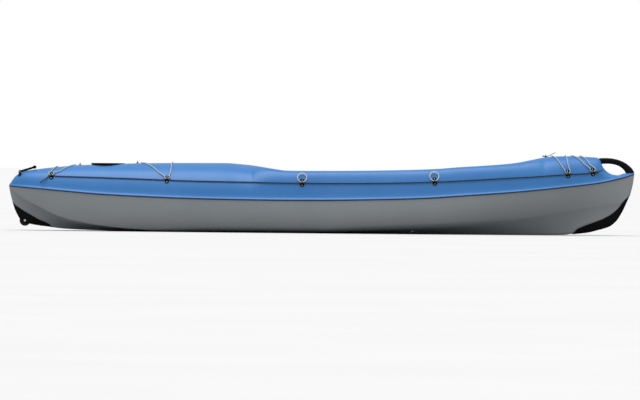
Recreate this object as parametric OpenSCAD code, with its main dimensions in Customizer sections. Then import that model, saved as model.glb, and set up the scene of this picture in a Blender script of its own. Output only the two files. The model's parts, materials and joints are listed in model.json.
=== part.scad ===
/* [Hull] */
// Overall length over the stem and stern
loa = 4240; // [3500:10:4800]
// Greatest width, across the seam amidships
beam = 650; // [540:5:780]
// Height of the gunwale above the keel amidships
depth = 420; // [340:5:500]
// Thickness of the moulded plastic shells
wall = 4; // [3:0.5:6]
// Width of the welded lip that stands out along the seam
lip_w = 8; // [5:1:12]
// Height of the outer edge of the seam lip
lip_t = 6; // [4:1:9]
// Half width of the flat along the keel
keel_half = 14; // [10:1:20]

/* [Cockpit] */
// Width of the gunwale from the seam in to its crest, amidships
gunwale_w = 62; // [50:1:80]
// Height of the seat floor above the keel
seat_floor = 150; // [130:5:180]
// Height of the foot wells above the keel
foot_floor = 118; // [100:2:140]
// Inner diameter of each scupper tube
scupper_d = 34; // [26:1:44]

/* [Deck fittings] */
// Diameter of the line that runs around the deck
line_d = 7; // [6:0.5:8]
// Diameter of the elastic shock cord
bungee_d = 7; // [5:0.5:8]
// Width of a pad eye base along the gunwale
pad_w = 30; // [26:1:34]
// Height of a pad eye base up the side
pad_h = 56; // [50:1:66]
// Outer diameter of a rope loop
loop_d = 68; // [56:1:80]
// Diameter of the rope of a loop
loop_rope = 7; // [6:0.5:7.5]
// Shank diameter of the deck screws
screw_d = 5; // [4:0.5:6]

/* [Hatches] */
// Clear diameter of the stern hatch
hatch_d = 200; // [160:5:230]
// Clear diameter of the small hatch in the cockpit
day_hatch_d = 110; // [90:5:130]
// Bore of the drain socket
drain_d = 20; // [16:1:26]

/* [Stern wheel] */
// Diameter of the trolley wheel under the stern
wheel_d = 74; // [60:1:84]
// Width of the trolley wheel
wheel_w = 22; // [16:1:28]
// Diameter of the wheel axle
axle_d = 8; // [6:0.5:10]
// Radial running clearance of the wheel on its axle
axle_clear = 0.08; // [0.05:0.01:0.1]

/* [Seat and foot rests] */
// Width of the back rest panel
back_w = 300; // [260:5:380]
// Height of the back rest panel above its pins
back_h = 170; // [140:5:190]
// Length of each foot rest rail
rail_l = 400; // [320:10:440]
// Width of a foot pedal
pedal_w = 88; // [70:1:100]
// Height of a foot pedal
pedal_h = 120; // [90:1:130]

/* [Hidden] */
$fn = 48;

half_l = loa / 2;
// The lines below are drawn for one depth, beam and length, and are scaled to the set ones.
kz = depth / 420;
ky = beam / 650;
kx = half_l / 2120;
seam_gap = 0.4;

// Lines of the boat: [share of the half length, height above the keel or half width]
keel_line = [[-1, 298], [-0.995, 245], [-0.988, 190], [-0.981, 142], [-0.973, 107], [-0.962, 72],
    [-0.93, 43], [-0.87, 25], [-0.82, 13], [-0.74, 6], [-0.6, 0], [0.7, 0], [0.77, 3], [0.85, 19],
    [0.89, 40], [0.92, 60], [0.942, 95], [0.962, 160], [0.976, 224], [0.988, 286], [0.996, 352], [1, 415]];
bumper_line = [[-1, 298], [-0.995, 245], [-0.988, 190], [-0.964, 149], [-0.93, 106], [-0.9, 71],
    [-0.872, 47], [-0.86, 22], [-0.82, 13], [-0.74, 6], [-0.6, 0], [0.7, 0], [0.77, 3], [0.803, 12],
    [0.82, 44], [0.86, 80], [0.896, 109], [0.932, 153], [0.951, 192], [0.969, 243], [0.988, 286],
    [0.996, 352], [1, 415]];
chine_line = [[-1, 299], [-0.972, 245], [-0.94, 201], [-0.9, 160], [-0.866, 122], [-0.8, 74],
    [-0.7, 38], [-0.6, 18], [-0.5, 8], [0, 8], [0.12, 19], [0.25, 33], [0.35, 46], [0.45, 65],
    [0.55, 88], [0.65, 112], [0.77, 155], [0.85, 187], [0.915, 209], [0.96, 228], [0.98, 260], [1, 416]];
seam_line = [[-1, 301], [-0.92, 288], [-0.82, 271], [-0.71, 253], [-0.57, 240], [-0.44, 231],
    [-0.29, 226], [-0.13, 224], [0, 226], [0.155, 233], [0.31, 244], [0.46, 266], [0.616, 292],
    [0.77, 327], [0.885, 358], [0.933, 379], [0.97, 399], [1, 421]];
ridge_line = [[-1, 306], [-0.99, 338], [-0.98, 366], [-0.97, 382], [-0.95, 402], [-0.914, 413],
    [-0.88, 423], [-0.85, 430], [-0.786, 443], [-0.71, 451], [-0.63, 458], [-0.52, 464],
    [-0.39, 467], [-0.305, 468], [-0.267, 463], [-0.229, 456], [-0.19, 443], [-0.152, 430],
    [-0.114, 420], [-0.075, 419], [0.03, 421], [0.155, 425], [0.29, 433], [0.37, 441], [0.44, 454],
    [0.52, 466], [0.6, 481], [0.635, 492], [0.67, 508], [0.71, 526], [0.735, 533], [0.79, 537],
    [0.85, 533], [0.88, 529], [0.89, 512], [0.9, 465], [0.915, 432], [0.93, 416], [0.948, 411],
    [0.968, 424], [1, 428]];
seam_half = [[-1, 12], [-0.996, 34], [-0.985, 58], [-0.96, 90], [-0.92, 126], [-0.86, 166],
    [-0.76, 214], [-0.6, 266], [-0.42, 303], [-0.2, 322], [0, 325], [0.2, 316], [0.4, 289],
    [0.58, 240], [0.72, 186], [0.84, 128], [0.91, 90], [0.955, 60], [0.985, 32], [1, 10]];
chine_share = [[-1, 0.95], [-0.9, 0.8], [-0.6, 0.76], [0, 0.7], [0.5, 0.64], [0.8, 0.56],
    [0.93, 0.56], [1, 0.9]];
// Half width of the crest as a share of the seam half width: the flat top of the closed decks, and the
// gunwale beside the cockpit
crest_share = [[-0.225, 0.15], [-0.221, 0.22], [-0.212, 0.38], [-0.19, 0.58], [-0.16, 0.7], [-0.11, 0.78],
    [0, 0.81], [0.25, 0.8], [0.45, 0.76], [0.58, 0.68], [0.65, 0.54], [0.69, 0.36], [0.705, 0.22],
    [0.71, 0.15]];
// Depth of the cockpit under the crest as a share of its full depth
sink_share = [[-0.225, 0], [-0.208, 0.35], [-0.19, 0.72], [-0.172, 0.94], [-0.156, 1], [0.58, 1],
    [0.63, 0.8], [0.67, 0.45], [0.7, 0.12], [0.71, 0]];
// Cockpit floor: [share of the half length, 0 at the foot wells .. 1 at the seat .. 2 at the knee rise]
floor_step = [[-0.2, 1.5], [-0.17, 1.08], [-0.158, 1], [0.02, 1], [0.05, 2.3], [0.066, 2.6], [0.14, 2.6],
    [0.16, 2.3], [0.21, 0], [0.5, 0], [0.58, 1]];

// Shape preserving cubic through a line's points, evaluated at u
function secant(p, i) = (p[i + 1][1] - p[i][1]) / (p[i + 1][0] - p[i][0]);
function slope(p, i) = i == 0 ? secant(p, 0)
    : i == len(p) - 1 ? secant(p, i - 1)
    : let (a = secant(p, i - 1), b = secant(p, i)) a * b <= 0 ? 0 : 2 * a * b / (a + b);
function span_of(p, u, i = 0) = i >= len(p) - 2 || u < p[i + 1][0] ? i : span_of(p, u, i + 1);
function curve(p, u0) =
    let (u = min(max(u0, p[0][0]), p[len(p) - 1][0]), i = span_of(p, u))
    let (h = p[i + 1][0] - p[i][0], t = (u - p[i][0]) / h)
    p[i][1] * (1 + 2 * t) * (1 - t) * (1 - t) + slope(p, i) * h * t * (1 - t) * (1 - t)
    + p[i + 1][1] * t * t * (3 - 2 * t) + slope(p, i + 1) * h * t * t * (t - 1);
function bez(a, b, c, f) = a * (1 - f) * (1 - f) + b * 2 * f * (1 - f) + c * f * f;
function steps(a, b, n) = [for (i = [1:n]) a + (b - a) * i / n];

function keel_z(u) = curve(keel_line, u) * kz;
function bumper_z(u) = curve(bumper_line, u) * kz;
function chine_z(u) = max(curve(chine_line, u) * kz, keel_z(u) + 1);
function seam_z(u) = curve(seam_line, u) * kz;
function ridge_z(u) = curve(ridge_line, u) * kz;
function seam_y(u) = curve(seam_half, u) * ky;
function chine_y(u) = max(seam_y(u) * curve(chine_share, u), keel_y(u) + 1);
function keel_y(u) = min(keel_half, seam_y(u) * 0.6);
function crest_y(u) = seam_y(u) * curve(crest_share, u) * (beam / 2 - gunwale_w) / (beam / 2 * 0.81);

// Fin part of a half section, from the keel (f = 0) to the chine (f = 1), hollow at the ends
function end_share(u) = min(1, max(0, (abs(u) - 0.35) / 0.5));
function fin_pt(u, f) =
    let (k = end_share(u), y0 = keel_y(u), y1 = chine_y(u), z0 = keel_z(u), z1 = chine_z(u))
    let (yc = y0 + (y1 - y0) * (0.5 - 0.25 * k), zc = z0 + (z1 - z0) * (0.5 + 0.2 * k) + 6 * (1 - k))
    [bez(y0, yc, y1, f), bez(z0, zc, z1, f)];
// Side part of a half section, from the chine (f = 0) to the seam (f = 1)
function side_pt(u, f) =
    let (k = end_share(u), y0 = chine_y(u), y1 = seam_y(u), z0 = chine_z(u), z1 = seam_z(u) - seam_gap)
    [bez(y0, y1 + 3 * (1 - k) - (y1 - y0) * 0.35 * k, y1, f), bez(z0, z0 + (z1 - z0) * (0.1
        + 0.35 * k), z1, f)];
// Share along the fin at which it reaches a height
function fin_share(u, z) =
    let (k = end_share(u), z0 = keel_z(u), dz = chine_z(u) - z0, b = 2 * (dz * (0.5 + 0.2 * k)
        + 6 * (1 - k)))
    let (a = dz - b, c = z0 - z)
    abs(a) < 0.01 ? min(1, max(0, -c / b)) : min(0.97, max(0, (-b + sqrt(max(0,
        b * b - 4 * a * c))) / (2 * a)));

side_n = 5;
fin_n = 3;
function hull_half(u) =
    let (f0 = fin_share(u, bumper_z(u)))
    concat([for (i = [0:side_n]) side_pt(u, 1 - i / side_n)],
        [for (i = [1:fin_n]) fin_pt(u, 1 - (1 - f0) * i / fin_n)]);

// Deck part of a half section: the outer side from the lip (f = 0) to the crest (f = 1)
lip_rise = 12;
function deck_pt(u, f) =
    let (y0 = seam_y(u), z0 = min(seam_z(u) + lip_rise * min(1, (ridge_z(u) - seam_z(u)) / 40),
        ridge_z(u) - 2))
    let (z1 = ridge_z(u), y1 = crest_y(u))
    [bez(y0 - 1, y0 * 0.95, y1, f), bez(z0, z1 - 2, z1, f)];
function floor_z(u) =
    let (s = curve(floor_step, u)) foot_floor + (seat_floor - foot_floor) * s;
// Cockpit part of a half section: [share of the crest half width, share of the sink]
bowl = [[0.965, 0.03], [0.93, 0.2], [0.89, 0.62], [0.85, 0.93], [0.78, 0.995], [0.52, 1], [0.26, 1]];
bowl_n = len(bowl);
// The bowl's points spread evenly over the crest where there is no cockpit
function bowl_y(i, sink) =
    let (k = min(1, sink / 60)) bowl[i][0] * k + (1 - (i + 1) / (bowl_n + 1)) * (1 - k);
function deck_half(u) =
    let (sink = (ridge_z(u) - floor_z(u)) * curve(sink_share, u), ys = seam_y(u), zs = seam_z(u) + seam_gap)
    concat([[ys + lip_w * min(1, ys / 30), zs], [ys + lip_w * min(1, ys / 30), min(zs + lip_t,
        ridge_z(u) - 4)]],
        [for (f = deck_f) deck_pt(u, f)],
        [for (i = [0:bowl_n - 1]) [crest_y(u) * bowl_y(i, sink), ridge_z(u) - sink * bowl[i][1]]],
        [[0, ridge_z(u) - sink]]);
deck_f = [0, 0.1, 0.24, 0.4, 0.58, 0.78, 1];

// Stations over the bow bumper, which its own rows share
bow_ends = concat([0.803, 0.812, 0.825, 0.84, 0.857, 0.875], steps(0.875, 0.955, 9), [0.97, 0.985]);
stations = concat([-1, -0.997, -0.99, -0.98, -0.965, -0.94], steps(-0.94, -0.25, 11), steps(-0.25,
    -0.13, 9),
    steps(-0.13, 0.56, 10), steps(0.56, 0.715, 9), steps(0.715, 0.795, 2), bow_ends,
    [0.995, 1]);

// Closed shell between a grid of points and the same grid moved in by the wall
function whole(h, flip) = flip
    ? concat([for (p = h) [-p[0], p[1]]], [for (i = [len(h) - 2:-1:0]) h[i]])
    : concat([for (p = h) [-p[0], p[1]]], [for (i = [len(h) - 1:-1:0]) h[i]]);
function grid_normal(g, i, j) =
    let (a = g[min(i + 1, len(g) - 1)][j] - g[max(i - 1, 0)][j])
    let (b = g[i][min(j + 1, len(g[0]) - 1)] - g[i][max(j - 1, 0)], n = cross(a, b))
    n / max(norm(n), 0.001);
function inner_grid(g, t, dir) = [for (i = [0:len(g) - 1]) [for (j = [0:len(g[0]) - 1])
    let (n = grid_normal(g, i, j) * dir * t, m = len(g[0]) - 1)
    j == 0 || j == m ? [g[i][j][0] * (1 - t / half_l), g[i][j][1] - sign(g[i][j][1]) * t, g[i][j][2]]
    : [g[i][j][0] + n[0] * 0.8 - sign(g[i][j][0]) * (abs(g[i][j][0]) > half_l * 0.995 ? t : 0),
        g[i][j][1] + n[1], g[i][j][2] + n[2]]]];
module shell_between(g, h) {
    n = len(g);
    m = len(g[0]);
    pts = concat([for (r = g) each r], [for (r = h) each r]);
    o = n * m;
    faces = concat(
        [for (i = [0:n - 2]) for (j = [0:m - 2]) [i * m + j, i * m + j + 1, (i + 1) * m + j]],
        [for (i = [0:n - 2]) for (j = [0:m - 2]) [i * m + j + 1, (i + 1) * m + j + 1, (i + 1) * m + j]],
        [for (i = [0:n - 2]) for (j = [0:m - 2]) [o + i * m + j, o + (i + 1) * m + j, o + i * m + j + 1]],
        [for (i = [0:n - 2]) for (j = [0:m - 2]) [o + i * m + j + 1, o + (i + 1) * m + j, o + (i
            + 1) * m + j + 1]],
        [[for (j = [m - 1:-1:0]) j]], [[for (j = [0:m - 1]) (n - 1) * m + j]],
        [[for (j = [0:m - 1]) o + j]], [[for (j = [m - 1:-1:0]) o + (n - 1) * m + j]],
        [for (i = [0:n - 2]) [i * m, (i + 1) * m, o + (i + 1) * m, o + i * m]],
        [for (i = [0:n - 2]) [i * m + m - 1, o + i * m + m - 1, o + (i + 1) * m + m - 1, (i + 1) * m
            + m - 1]],
        [[0, o, o + m - 1, m - 1]],
        [[(n - 1) * m, (n - 1) * m + m - 1, o + (n - 1) * m + m - 1, o + (n - 1) * m]]);
    polyhedron(pts, faces, convexity = 12);
}
function grid_of(us, flip) = [for (u = us) [for (p = whole(flip ? deck_half(u) : hull_half(u), flip))
    [u * half_l, p[0], p[1]]]];

// ---- places on the faceted deck ----
function index_at(list, v, i = 0) = i >= len(list) - 2 || v < list[i + 1] ? i : index_at(list, v, i + 1);
function facet_pt(x, f) =
    let (u = x / half_l, i = index_at(stations, u), j = index_at(deck_f, f))
    let (s = (u - stations[i]) / (stations[i + 1] - stations[i]), t = (f - deck_f[j]) / (deck_f[j
        + 1] - deck_f[j]))
    let (a = deck_pt(stations[i], deck_f[j]), b = deck_pt(stations[i + 1], deck_f[j]),
        c = deck_pt(stations[i], deck_f[j + 1]), d = deck_pt(stations[i + 1], deck_f[j + 1]))
    let (p = (a * (1 - s) + b * s) * (1 - t) + (c * (1 - s) + d * s) * t)
    [x, p[0], p[1]];
// Share along the deck side at which it reaches a height
function share_at(x, z) =
    let (u = x / half_l, z0 = deck_pt(u, 0)[1], z1 = ridge_z(u), a = z0 - z1 + 4, b = 2 * (z1 - 2 - z0))
    (-b + sqrt(max(0, b * b - 4 * a * (z0 - z)))) / (2 * a);
function unit(v) = v / norm(v);
// Frame on the port side: place, forward, outward-down and outward directions
function side_frame(x, f) =
    let (ex = unit(facet_pt(x + 12, f) - facet_pt(x - 12, f)))
    let (ez = unit(cross(facet_pt(x, min(1, f + 0.04)) - facet_pt(x, f - 0.04), ex)), ey = cross(ez, ex))
    [facet_pt(x, f), ex, ey, ez];
function from_frame(m, p) = m[0] + m[1] * p[0] + m[2] * p[1] + m[3] * p[2];
module in_frame(m) multmatrix([[m[1][0], m[2][0], m[3][0], m[0][0]], [m[1][1], m[2][1], m[3][1], m[0][1]],
    [m[1][2], m[2][2], m[3][2], m[0][2]]]) children();
module starboard() mirror([0, 1, 0]) children();
module both_sides() {
    children();
    starboard() children();
}

// Tube swept along points, as one polyhedron; a closed one joins its last ring to its first
function ring_of(p, dir, r, n) =
    let (a = unit(cross(dir, abs(dir[0]) > 0.8 ? [0, 0.3, 1] : [1, 0, 0])), b = cross(dir, a))
    [for (k = [0:n - 1]) p + a * r * cos(360 * k / n) + b * r * sin(360 * k / n)];
module tube_along(p, d, n = 8, closed = false, knots = []) {
    m = len(p);
    r = d / 2 / cos(180 / n);
    fat = [for (i = [0:m - 1]) let (k = [for (e = knots) if (e[0] == i) e[1]]) len(k) > 0 ? k[0] : 1];
    rings = [for (i = [0:m - 1])
        let (before = closed ? p[(i + m - 1) % m] : p[max(0, i - 1)], after = closed ? p[(i + 1) % m]
            : p[min(m - 1, i + 1)])
        each ring_of(p[i], unit(after - before), r * fat[i], n)];
    spans = closed ? m : m - 1;
    sides = [for (i = [0:spans - 1]) for (k = [0:n - 1])
        let (a = i * n + k, b = i * n + (k + 1) % n, c = ((i + 1) % m) * n + k, e = ((i + 1) % m) * n
            + (k + 1) % n)
        each [[a, c, b], [b, c, e]]];
    ends = closed ? [] : [[for (k = [0:n - 1]) k], [for (k = [n - 1:-1:0]) (m - 1) * n + k]];
    polyhedron(rings, concat(sides, ends), convexity = 10);
}

// ---- pad eyes, lines and loops ----
pad_base = 3.5;
pad_bail = 6;
rope_lift = pad_base + line_d / 2 + 0.6;
rope_shift = line_d / 2 + 0.7;
bail_r = sqrt(pow(rope_shift, 2) + pow(rope_lift - pad_base, 2)) + line_d / 2 + pad_bail / 2 + 0.8;
screw_off = pad_h / 2 - pad_w / 2 + 4;
// Places of the pad eyes: [x, height above the keel]
pads = [for (p = [[-1828, 372], [-1045, 355], [-132, 342], [763, 359], [1665, 418], [1835, 432]])
    [p[0] * kx, p[1]]];
pad_frames = [for (p = pads) side_frame(p[0], share_at(p[0], p[1] * kz))];
function at_pad(i, p) = from_frame(pad_frames[i], p);

module pad_eye() difference() {
    union() {
        for (s = [-1, 1]) translate([0, s * (pad_h - pad_w) / 2, 0.2]) cylinder(d = pad_w, h = pad_base);
        translate([-pad_w / 2, -(pad_h - pad_w) / 2, 0.2]) cube([pad_w, pad_h - pad_w, pad_base]);
        translate([0, 0, pad_base]) rotate([90, 0, 90]) rotate_extrude(angle = 180) translate([bail_r, 0])
            circle(d = pad_bail);
    }
    for (s = [-1, 1]) translate([0, s * screw_off, -1]) cylinder(d = screw_d, h = 10);
}
module pad_row() for (m = pad_frames) in_frame(m) pad_eye();
module pad_eyes_port() color("#202124") pad_row();
module pad_eyes_starboard() color("#202124") starboard() pad_row();
module pan_screw(length) {
    translate([0, 0, 0.05]) intersection() {
        translate([0, 0, -screw_d * 0.55]) sphere(d = screw_d * 2.1);
        cylinder(d = screw_d * 2, h = 4);
    }
    translate([0, 0, -length]) cylinder(d = screw_d, h = length + 0.1);
}
module pad_eye_screws() color("#c9ccce") both_sides() for (m = pad_frames) in_frame(m) for (s = [-1, 1])
    translate([0, s * screw_off, pad_base + 0.2]) pan_screw(pad_base + wall + 3);

// Height of the deck line, and its route from the tail past each pad eye to the end knot
line_line = [[-0.862, 368], [-0.73, 362], [-0.575, 354], [-0.5, 349], [-0.4, 344], [-0.28, 341],
    [-0.06, 337], [0.155, 341], [0.36, 354], [0.48, 368], [0.6, 385], [0.67, 394], [0.77, 410], [0.866,
        424]];
function on_deck(x, z, lift) = from_frame(side_frame(x, share_at(x, z)), [0, 0, lift]);
function line_run(i) =
    let (x0 = pads[i][0] + 36, x1 = pads[i + 1][0] - 36, n = max(1, round((x1 - x0) / 75)))
    concat([for (d = [-17, 17]) at_pad(i, [d, rope_shift, rope_lift])],
        [for (k = [0:n]) let (x = x0 + (x1 - x0) * k / n)
            on_deck(x, curve(line_line, x / half_l) * kz, line_d / 2 + 2.4)]);
last_pad = len(pads) - 1;
tail_pts = [[-72, 58, 6], [-50, 40, 7], [-26, 18, 7]];
line_points = concat([for (p = tail_pts) at_pad(0, p)], [for (i = [0:last_pad - 1]) each line_run(i)],
    [for (d = [-17, 17, 20, 23, 27, 31, 34]) at_pad(last_pad, [d, rope_shift, rope_lift + 1])],
    [at_pad(last_pad, [44, rope_shift - 4, rope_lift + 5]), at_pad(last_pad, [64, -4, rope_lift + 14])]);
knot_at = len(line_points) - 6;
module line_and_knot() tube_along(line_points, line_d, knots = [[knot_at, 1.7], [knot_at + 1, 2],
    [knot_at + 2, 1.7]]);
module deck_line_port() color("#1b1c1e") line_and_knot();
module deck_line_starboard() color("#1b1c1e") starboard() line_and_knot();

// Rope loops on the two pad eyes beside the cockpit: each swings about the rope in its pad eye
module rope_loop(i) in_frame(pad_frames[i]) translate([0, -rope_shift - (loop_d - loop_rope) / 2,
    rope_lift])
    rotate_extrude() translate([(loop_d - loop_rope) / 2, 0]) circle(d = loop_rope);
module loop_seat_port() color("#dfe3e4") rope_loop(2);
module loop_seat_starboard() color("#dfe3e4") starboard() rope_loop(2);
module loop_knee_port() color("#dfe3e4") rope_loop(3);
module loop_knee_starboard() color("#dfe3e4") starboard() rope_loop(3);

// Elastic cords: each is one closed run through a pair of pad eyes and over the deck
bungee_lift = bungee_d / 2 + 2.2;
bungee_shares = [0.46, 0.52, 0.58, 0.68, 0.78, 0.89, 0.99];
function over_deck(i, x1, x2) =
    let (fp = share_at(pads[i][0], pads[i][1] * kz), fs = [for (f = bungee_shares) if (f > fp + 0.12) f])
    [for (f = fs) let (t = (f - fp) / (1 - fp)) from_frame(side_frame(x1 + (x2 - x1) * t, f), [0, 0,
        bungee_lift])];
function ridge_pt(x) = [x, 0, facet_pt(x, 1)[2] + bungee_lift];
function bungee_run(i, aft, fore) =
    let (px = pads[i][0], a = over_deck(i, px - 20, aft), b = over_deck(i, px + (fore < px ? 8 : 20), fore))
    let (eye = [for (p = [[15, -24, 9.5], [17, -12, 8.5], [9, -rope_shift, rope_lift], [-9,
        -rope_shift, rope_lift],
        [-17, -12, 8.5], [-20, -24, 9.5]]) at_pad(i, p)])
    let (half = concat([for (k = [len(b) - 1:-1:0]) b[k]], eye, a))
    concat([ridge_pt(fore)], half, [ridge_pt(aft)], [for (k = [len(half) - 1:-1:0]) flip_point(half[k])]);
function flip_point(p) = [p[0], -p[1], p[2]];
module bungee(i, aft, fore) tube_along(bungee_run(i, aft, fore), bungee_d, 8, true);
module stern_bungee() color("#d4dad6") bungee(0, -1790 * kx, -1668 * kx);
module rear_bungee() color("#d4dad6") bungee(1, -1225 * kx, -1011 * kx);
module bow_bungee() color("#d4dad6") {
    bungee(4, 1556 * kx, 1650 * kx);
    bungee(5, 1690 * kx, 1750 * kx);
}

// ---- ridge hooks and the loose cord end ----
hook_xs = [for (x = [-1640, -1250, 1518]) x * kx];
module ridge_hook(x) {
    z = facet_pt(x, 1)[2];
    translate([x, 0, z + 1]) {
        cylinder(d = pad_w * 0.8, h = pad_base);
        translate([0, 0, pad_base - 0.5]) rotate([90, 0, 90]) rotate_extrude(angle = 180)
            translate([bungee_d + 4, 0])
            circle(d = pad_bail);
    }
}
module ridge_hooks() color("#202124") for (x = hook_xs) ridge_hook(x);
module cord_tail() color("#d4dad6") {
    z = facet_pt(hook_xs[2], 1)[2] + pad_base + bungee_d / 2 + 1.2;
    tube_along([for (p = [[-25, 0, 0], [-22, 0, 0], [-18, 0, 0], [-14, 0, 0], [-11, 0, 0], [10, 0, 0],
        [24, -2, 4],
        [44, -5, 14], [66, -9, 25]]) [hook_xs[2] + p[0], p[1], z + p[2]]], bungee_d,
        knots = [[1, 1.6], [2, 1.9], [3, 1.6]]);
}

// ---- bumpers, wheel ----
wheel_x = -2010 * kx;
wheel_z = 67 * kz;
axle_half = keel_half + 12;
function bump_half(u, wide) = keel_half * min(1, seam_y(u) / 30)
    + wide * max(0, 1 - pow((u - wheel_x / half_l) / 0.03, 2)) * (axle_half - keel_half);
module bumper(us, wide) {
    rows = [for (u = us)
        let (f = fin_share(u, bumper_z(u)), top = fin_pt(u, f), zt = bumper_z(u) - 0.6,
            zl = min(keel_z(u), zt - 2.5))
        let (yt = max(top[0], bump_half(u, wide)), yb = bump_half(u, wide), zm = zl + (zt - zl) * 0.45)
        [for (p = [[yt, zt], [max(yb, (yt + yb) / 2), zm], [yb, zl + (zt - zl) * 0.2], [yb * 0.6, zl],
            [-yb * 0.6, zl],
            [-yb, zl + (zt - zl) * 0.2], [-max(yb, (yt + yb) / 2), zm], [-yt, zt]]) [u * half_l, p[0],
                p[1]]]];
    m = 8;
    n = len(rows);
    polyhedron([for (r = rows) each r], concat(
        [for (i = [0:n - 2]) for (j = [0:m - 1]) [i * m + j, i * m + (j + 1) % m, (i + 1) * m + j]],
        [for (i = [0:n - 2]) for (j = [0:m - 1]) [i * m + (j + 1) % m, (i + 1) * m + (j + 1) % m, (i
            + 1) * m + j]],
        [[for (j = [m - 1:-1:0]) j], [for (j = [0:m - 1]) (n - 1) * m + j]]), convexity = 6);
}
module bow_bumper() color("#17181a") bumper(bow_ends, 0);
module stern_bumper() color("#17181a") difference() {
    bumper(concat([-0.9865], steps(-0.9865, -0.92, 10), steps(-0.92, -0.862, 5)), 1);
    translate([wheel_x, wheel_w / 2 + 1.5, wheel_z]) rotate([90, 0, 0]) cylinder(d = wheel_d + 7,
        h = wheel_w + 3);
    translate([wheel_x, axle_half + 5, wheel_z]) rotate([90, 0, 0]) cylinder(d = axle_d,
        h = 2 * axle_half + 10);
}
module stern_wheel() color("#101113") translate([wheel_x, wheel_w / 2, wheel_z]) rotate([90, 0,
    0]) difference() {
    rotate_extrude() polygon([[0, 0], [wheel_d / 2 - 4, 0], [wheel_d / 2, 4], [wheel_d / 2, wheel_w - 4],
        [wheel_d / 2 - 4, wheel_w], [0, wheel_w]]);
    translate([0, 0, -1]) cylinder(d = axle_d + 2 * axle_clear, h = wheel_w + 2);
    for (z = [-1, wheel_w - 4]) translate([0, 0, z]) difference() {
        cylinder(d = wheel_d * 0.7, h = 5);
        cylinder(d = axle_d * 2.4, h = 5);
    }
}
module wheel_axle() color("#c9ccce") translate([wheel_x, 0, wheel_z]) rotate([90, 0, 0]) {
    cylinder(d = axle_d, h = 2 * axle_half + 1, center = true);
    for (s = [-1, 1]) translate([0, 0, s * (axle_half + 2)]) cylinder(d = axle_d * 1.9, h = 3,
        center = true);
}
bumper_screw_xs = [-1900, 1790, 1900];
module bumper_screws() color("#c9ccce") for (x = bumper_screw_xs) {
    u = x / 2120;
    z = keel_z(u);
    translate([u * half_l, 0, z - 0.05]) rotate([180, u < 0 ? -6 : 14,
        0]) pan_screw((bumper_z(u) - z) * 0.8);
}

// ---- bow handle: an arch over the notch behind the stem ----
handle_mid = [[1881, 504], [1905, 507], [1935, 508], [1965, 506], [1993, 501], [2020, 492], [2045, 479],
    [2066, 462], [2082, 444], [2088, 431]];
handle_thick = [42, 40, 39, 38, 38, 39, 42, 46, 50, 52];
handle_wide = [52, 44, 38, 36, 36, 36, 34, 32, 30, 28];
module bow_handle() color("#17181a") {
    n = len(handle_mid);
    m = 12;
    rows = [for (i = [0:n - 1])
        let (d = unit(handle_mid[min(n - 1, i + 1)] - handle_mid[max(0, i - 1)]), nrm = [-d[1], d[0]])
        for (k = [0:m - 1]) let (a = 360 * k / m, r = handle_thick[i] / 2 * sin(a),
            y = handle_wide[i] / 2 * cos(a))
        [(handle_mid[i][0] + nrm[0] * r) * kx, y, (handle_mid[i][1] + nrm[1] * r) * kz]];
    polyhedron(rows, concat(
        [for (i = [0:n - 2]) for (k = [0:m - 1]) [i * m + k, (i + 1) * m + k, (i + 1) * m + (k
            + 1) % m, i * m + (k + 1) % m]],
        [[for (k = [0:m - 1]) k], [for (k = [m - 1:-1:0]) (n - 1) * m + k]]), convexity = 6);
}

// ---- stern carry handle ----
grip_x = -1948 * kx;
hinge_x = -2046 * kx;
arm_t = 10;
arm_y = 44 * ky;
lug_y = arm_y + arm_t / 2 + 1;
pin_d = 8;
lug_frame = side_frame(hinge_x, 0.6);
hinge_z = lug_frame[0][2] + 24;
grip_z = facet_pt(grip_x, 1)[2] + 17;
module stern_handle_lugs() color("#202124") both_sides() {
    in_frame(lug_frame) translate([0, 0, 0.3]) cylinder(d = 24, h = 4);
    translate([hinge_x - 9, lug_y, lug_frame[0][2] + 1]) cube([18, 6, hinge_z - lug_frame[0][2] - 1]);
    translate([hinge_x, lug_y + 6, hinge_z]) rotate([90, 0, 0]) cylinder(d = 18, h = 6);
}
module stern_handle_pins() color("#c9ccce") both_sides() translate([hinge_x, arm_y + arm_t / 2 + 8,
    hinge_z])
    rotate([90, 0, 0]) cylinder(d = pin_d, h = arm_t + 12);
module stern_handle() color("#17181a") {
    both_sides() difference() {
        union() {
            translate([hinge_x, arm_y + arm_t / 2, hinge_z]) rotate([90, 0, 0]) cylinder(d = 20, h = arm_t);
            translate([hinge_x, arm_y - arm_t / 2 + 1, hinge_z])
                rotate([0, -atan((grip_z - hinge_z) / (grip_x - hinge_x)), 0]) translate([0, 0, -7])
                cube([norm([grip_x - hinge_x, grip_z - hinge_z]), arm_t - 2, 14]);
        }
        translate([hinge_x, arm_y + arm_t, hinge_z]) rotate([90, 0, 0]) cylinder(d = pin_d
            + 2 * axle_clear, h = 2 * arm_t);
    }
    translate([grip_x, arm_y + arm_t / 2, grip_z]) rotate([90, 0, 0]) cylinder(d = 22, h = 2 * arm_y
        + arm_t);
}

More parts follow.
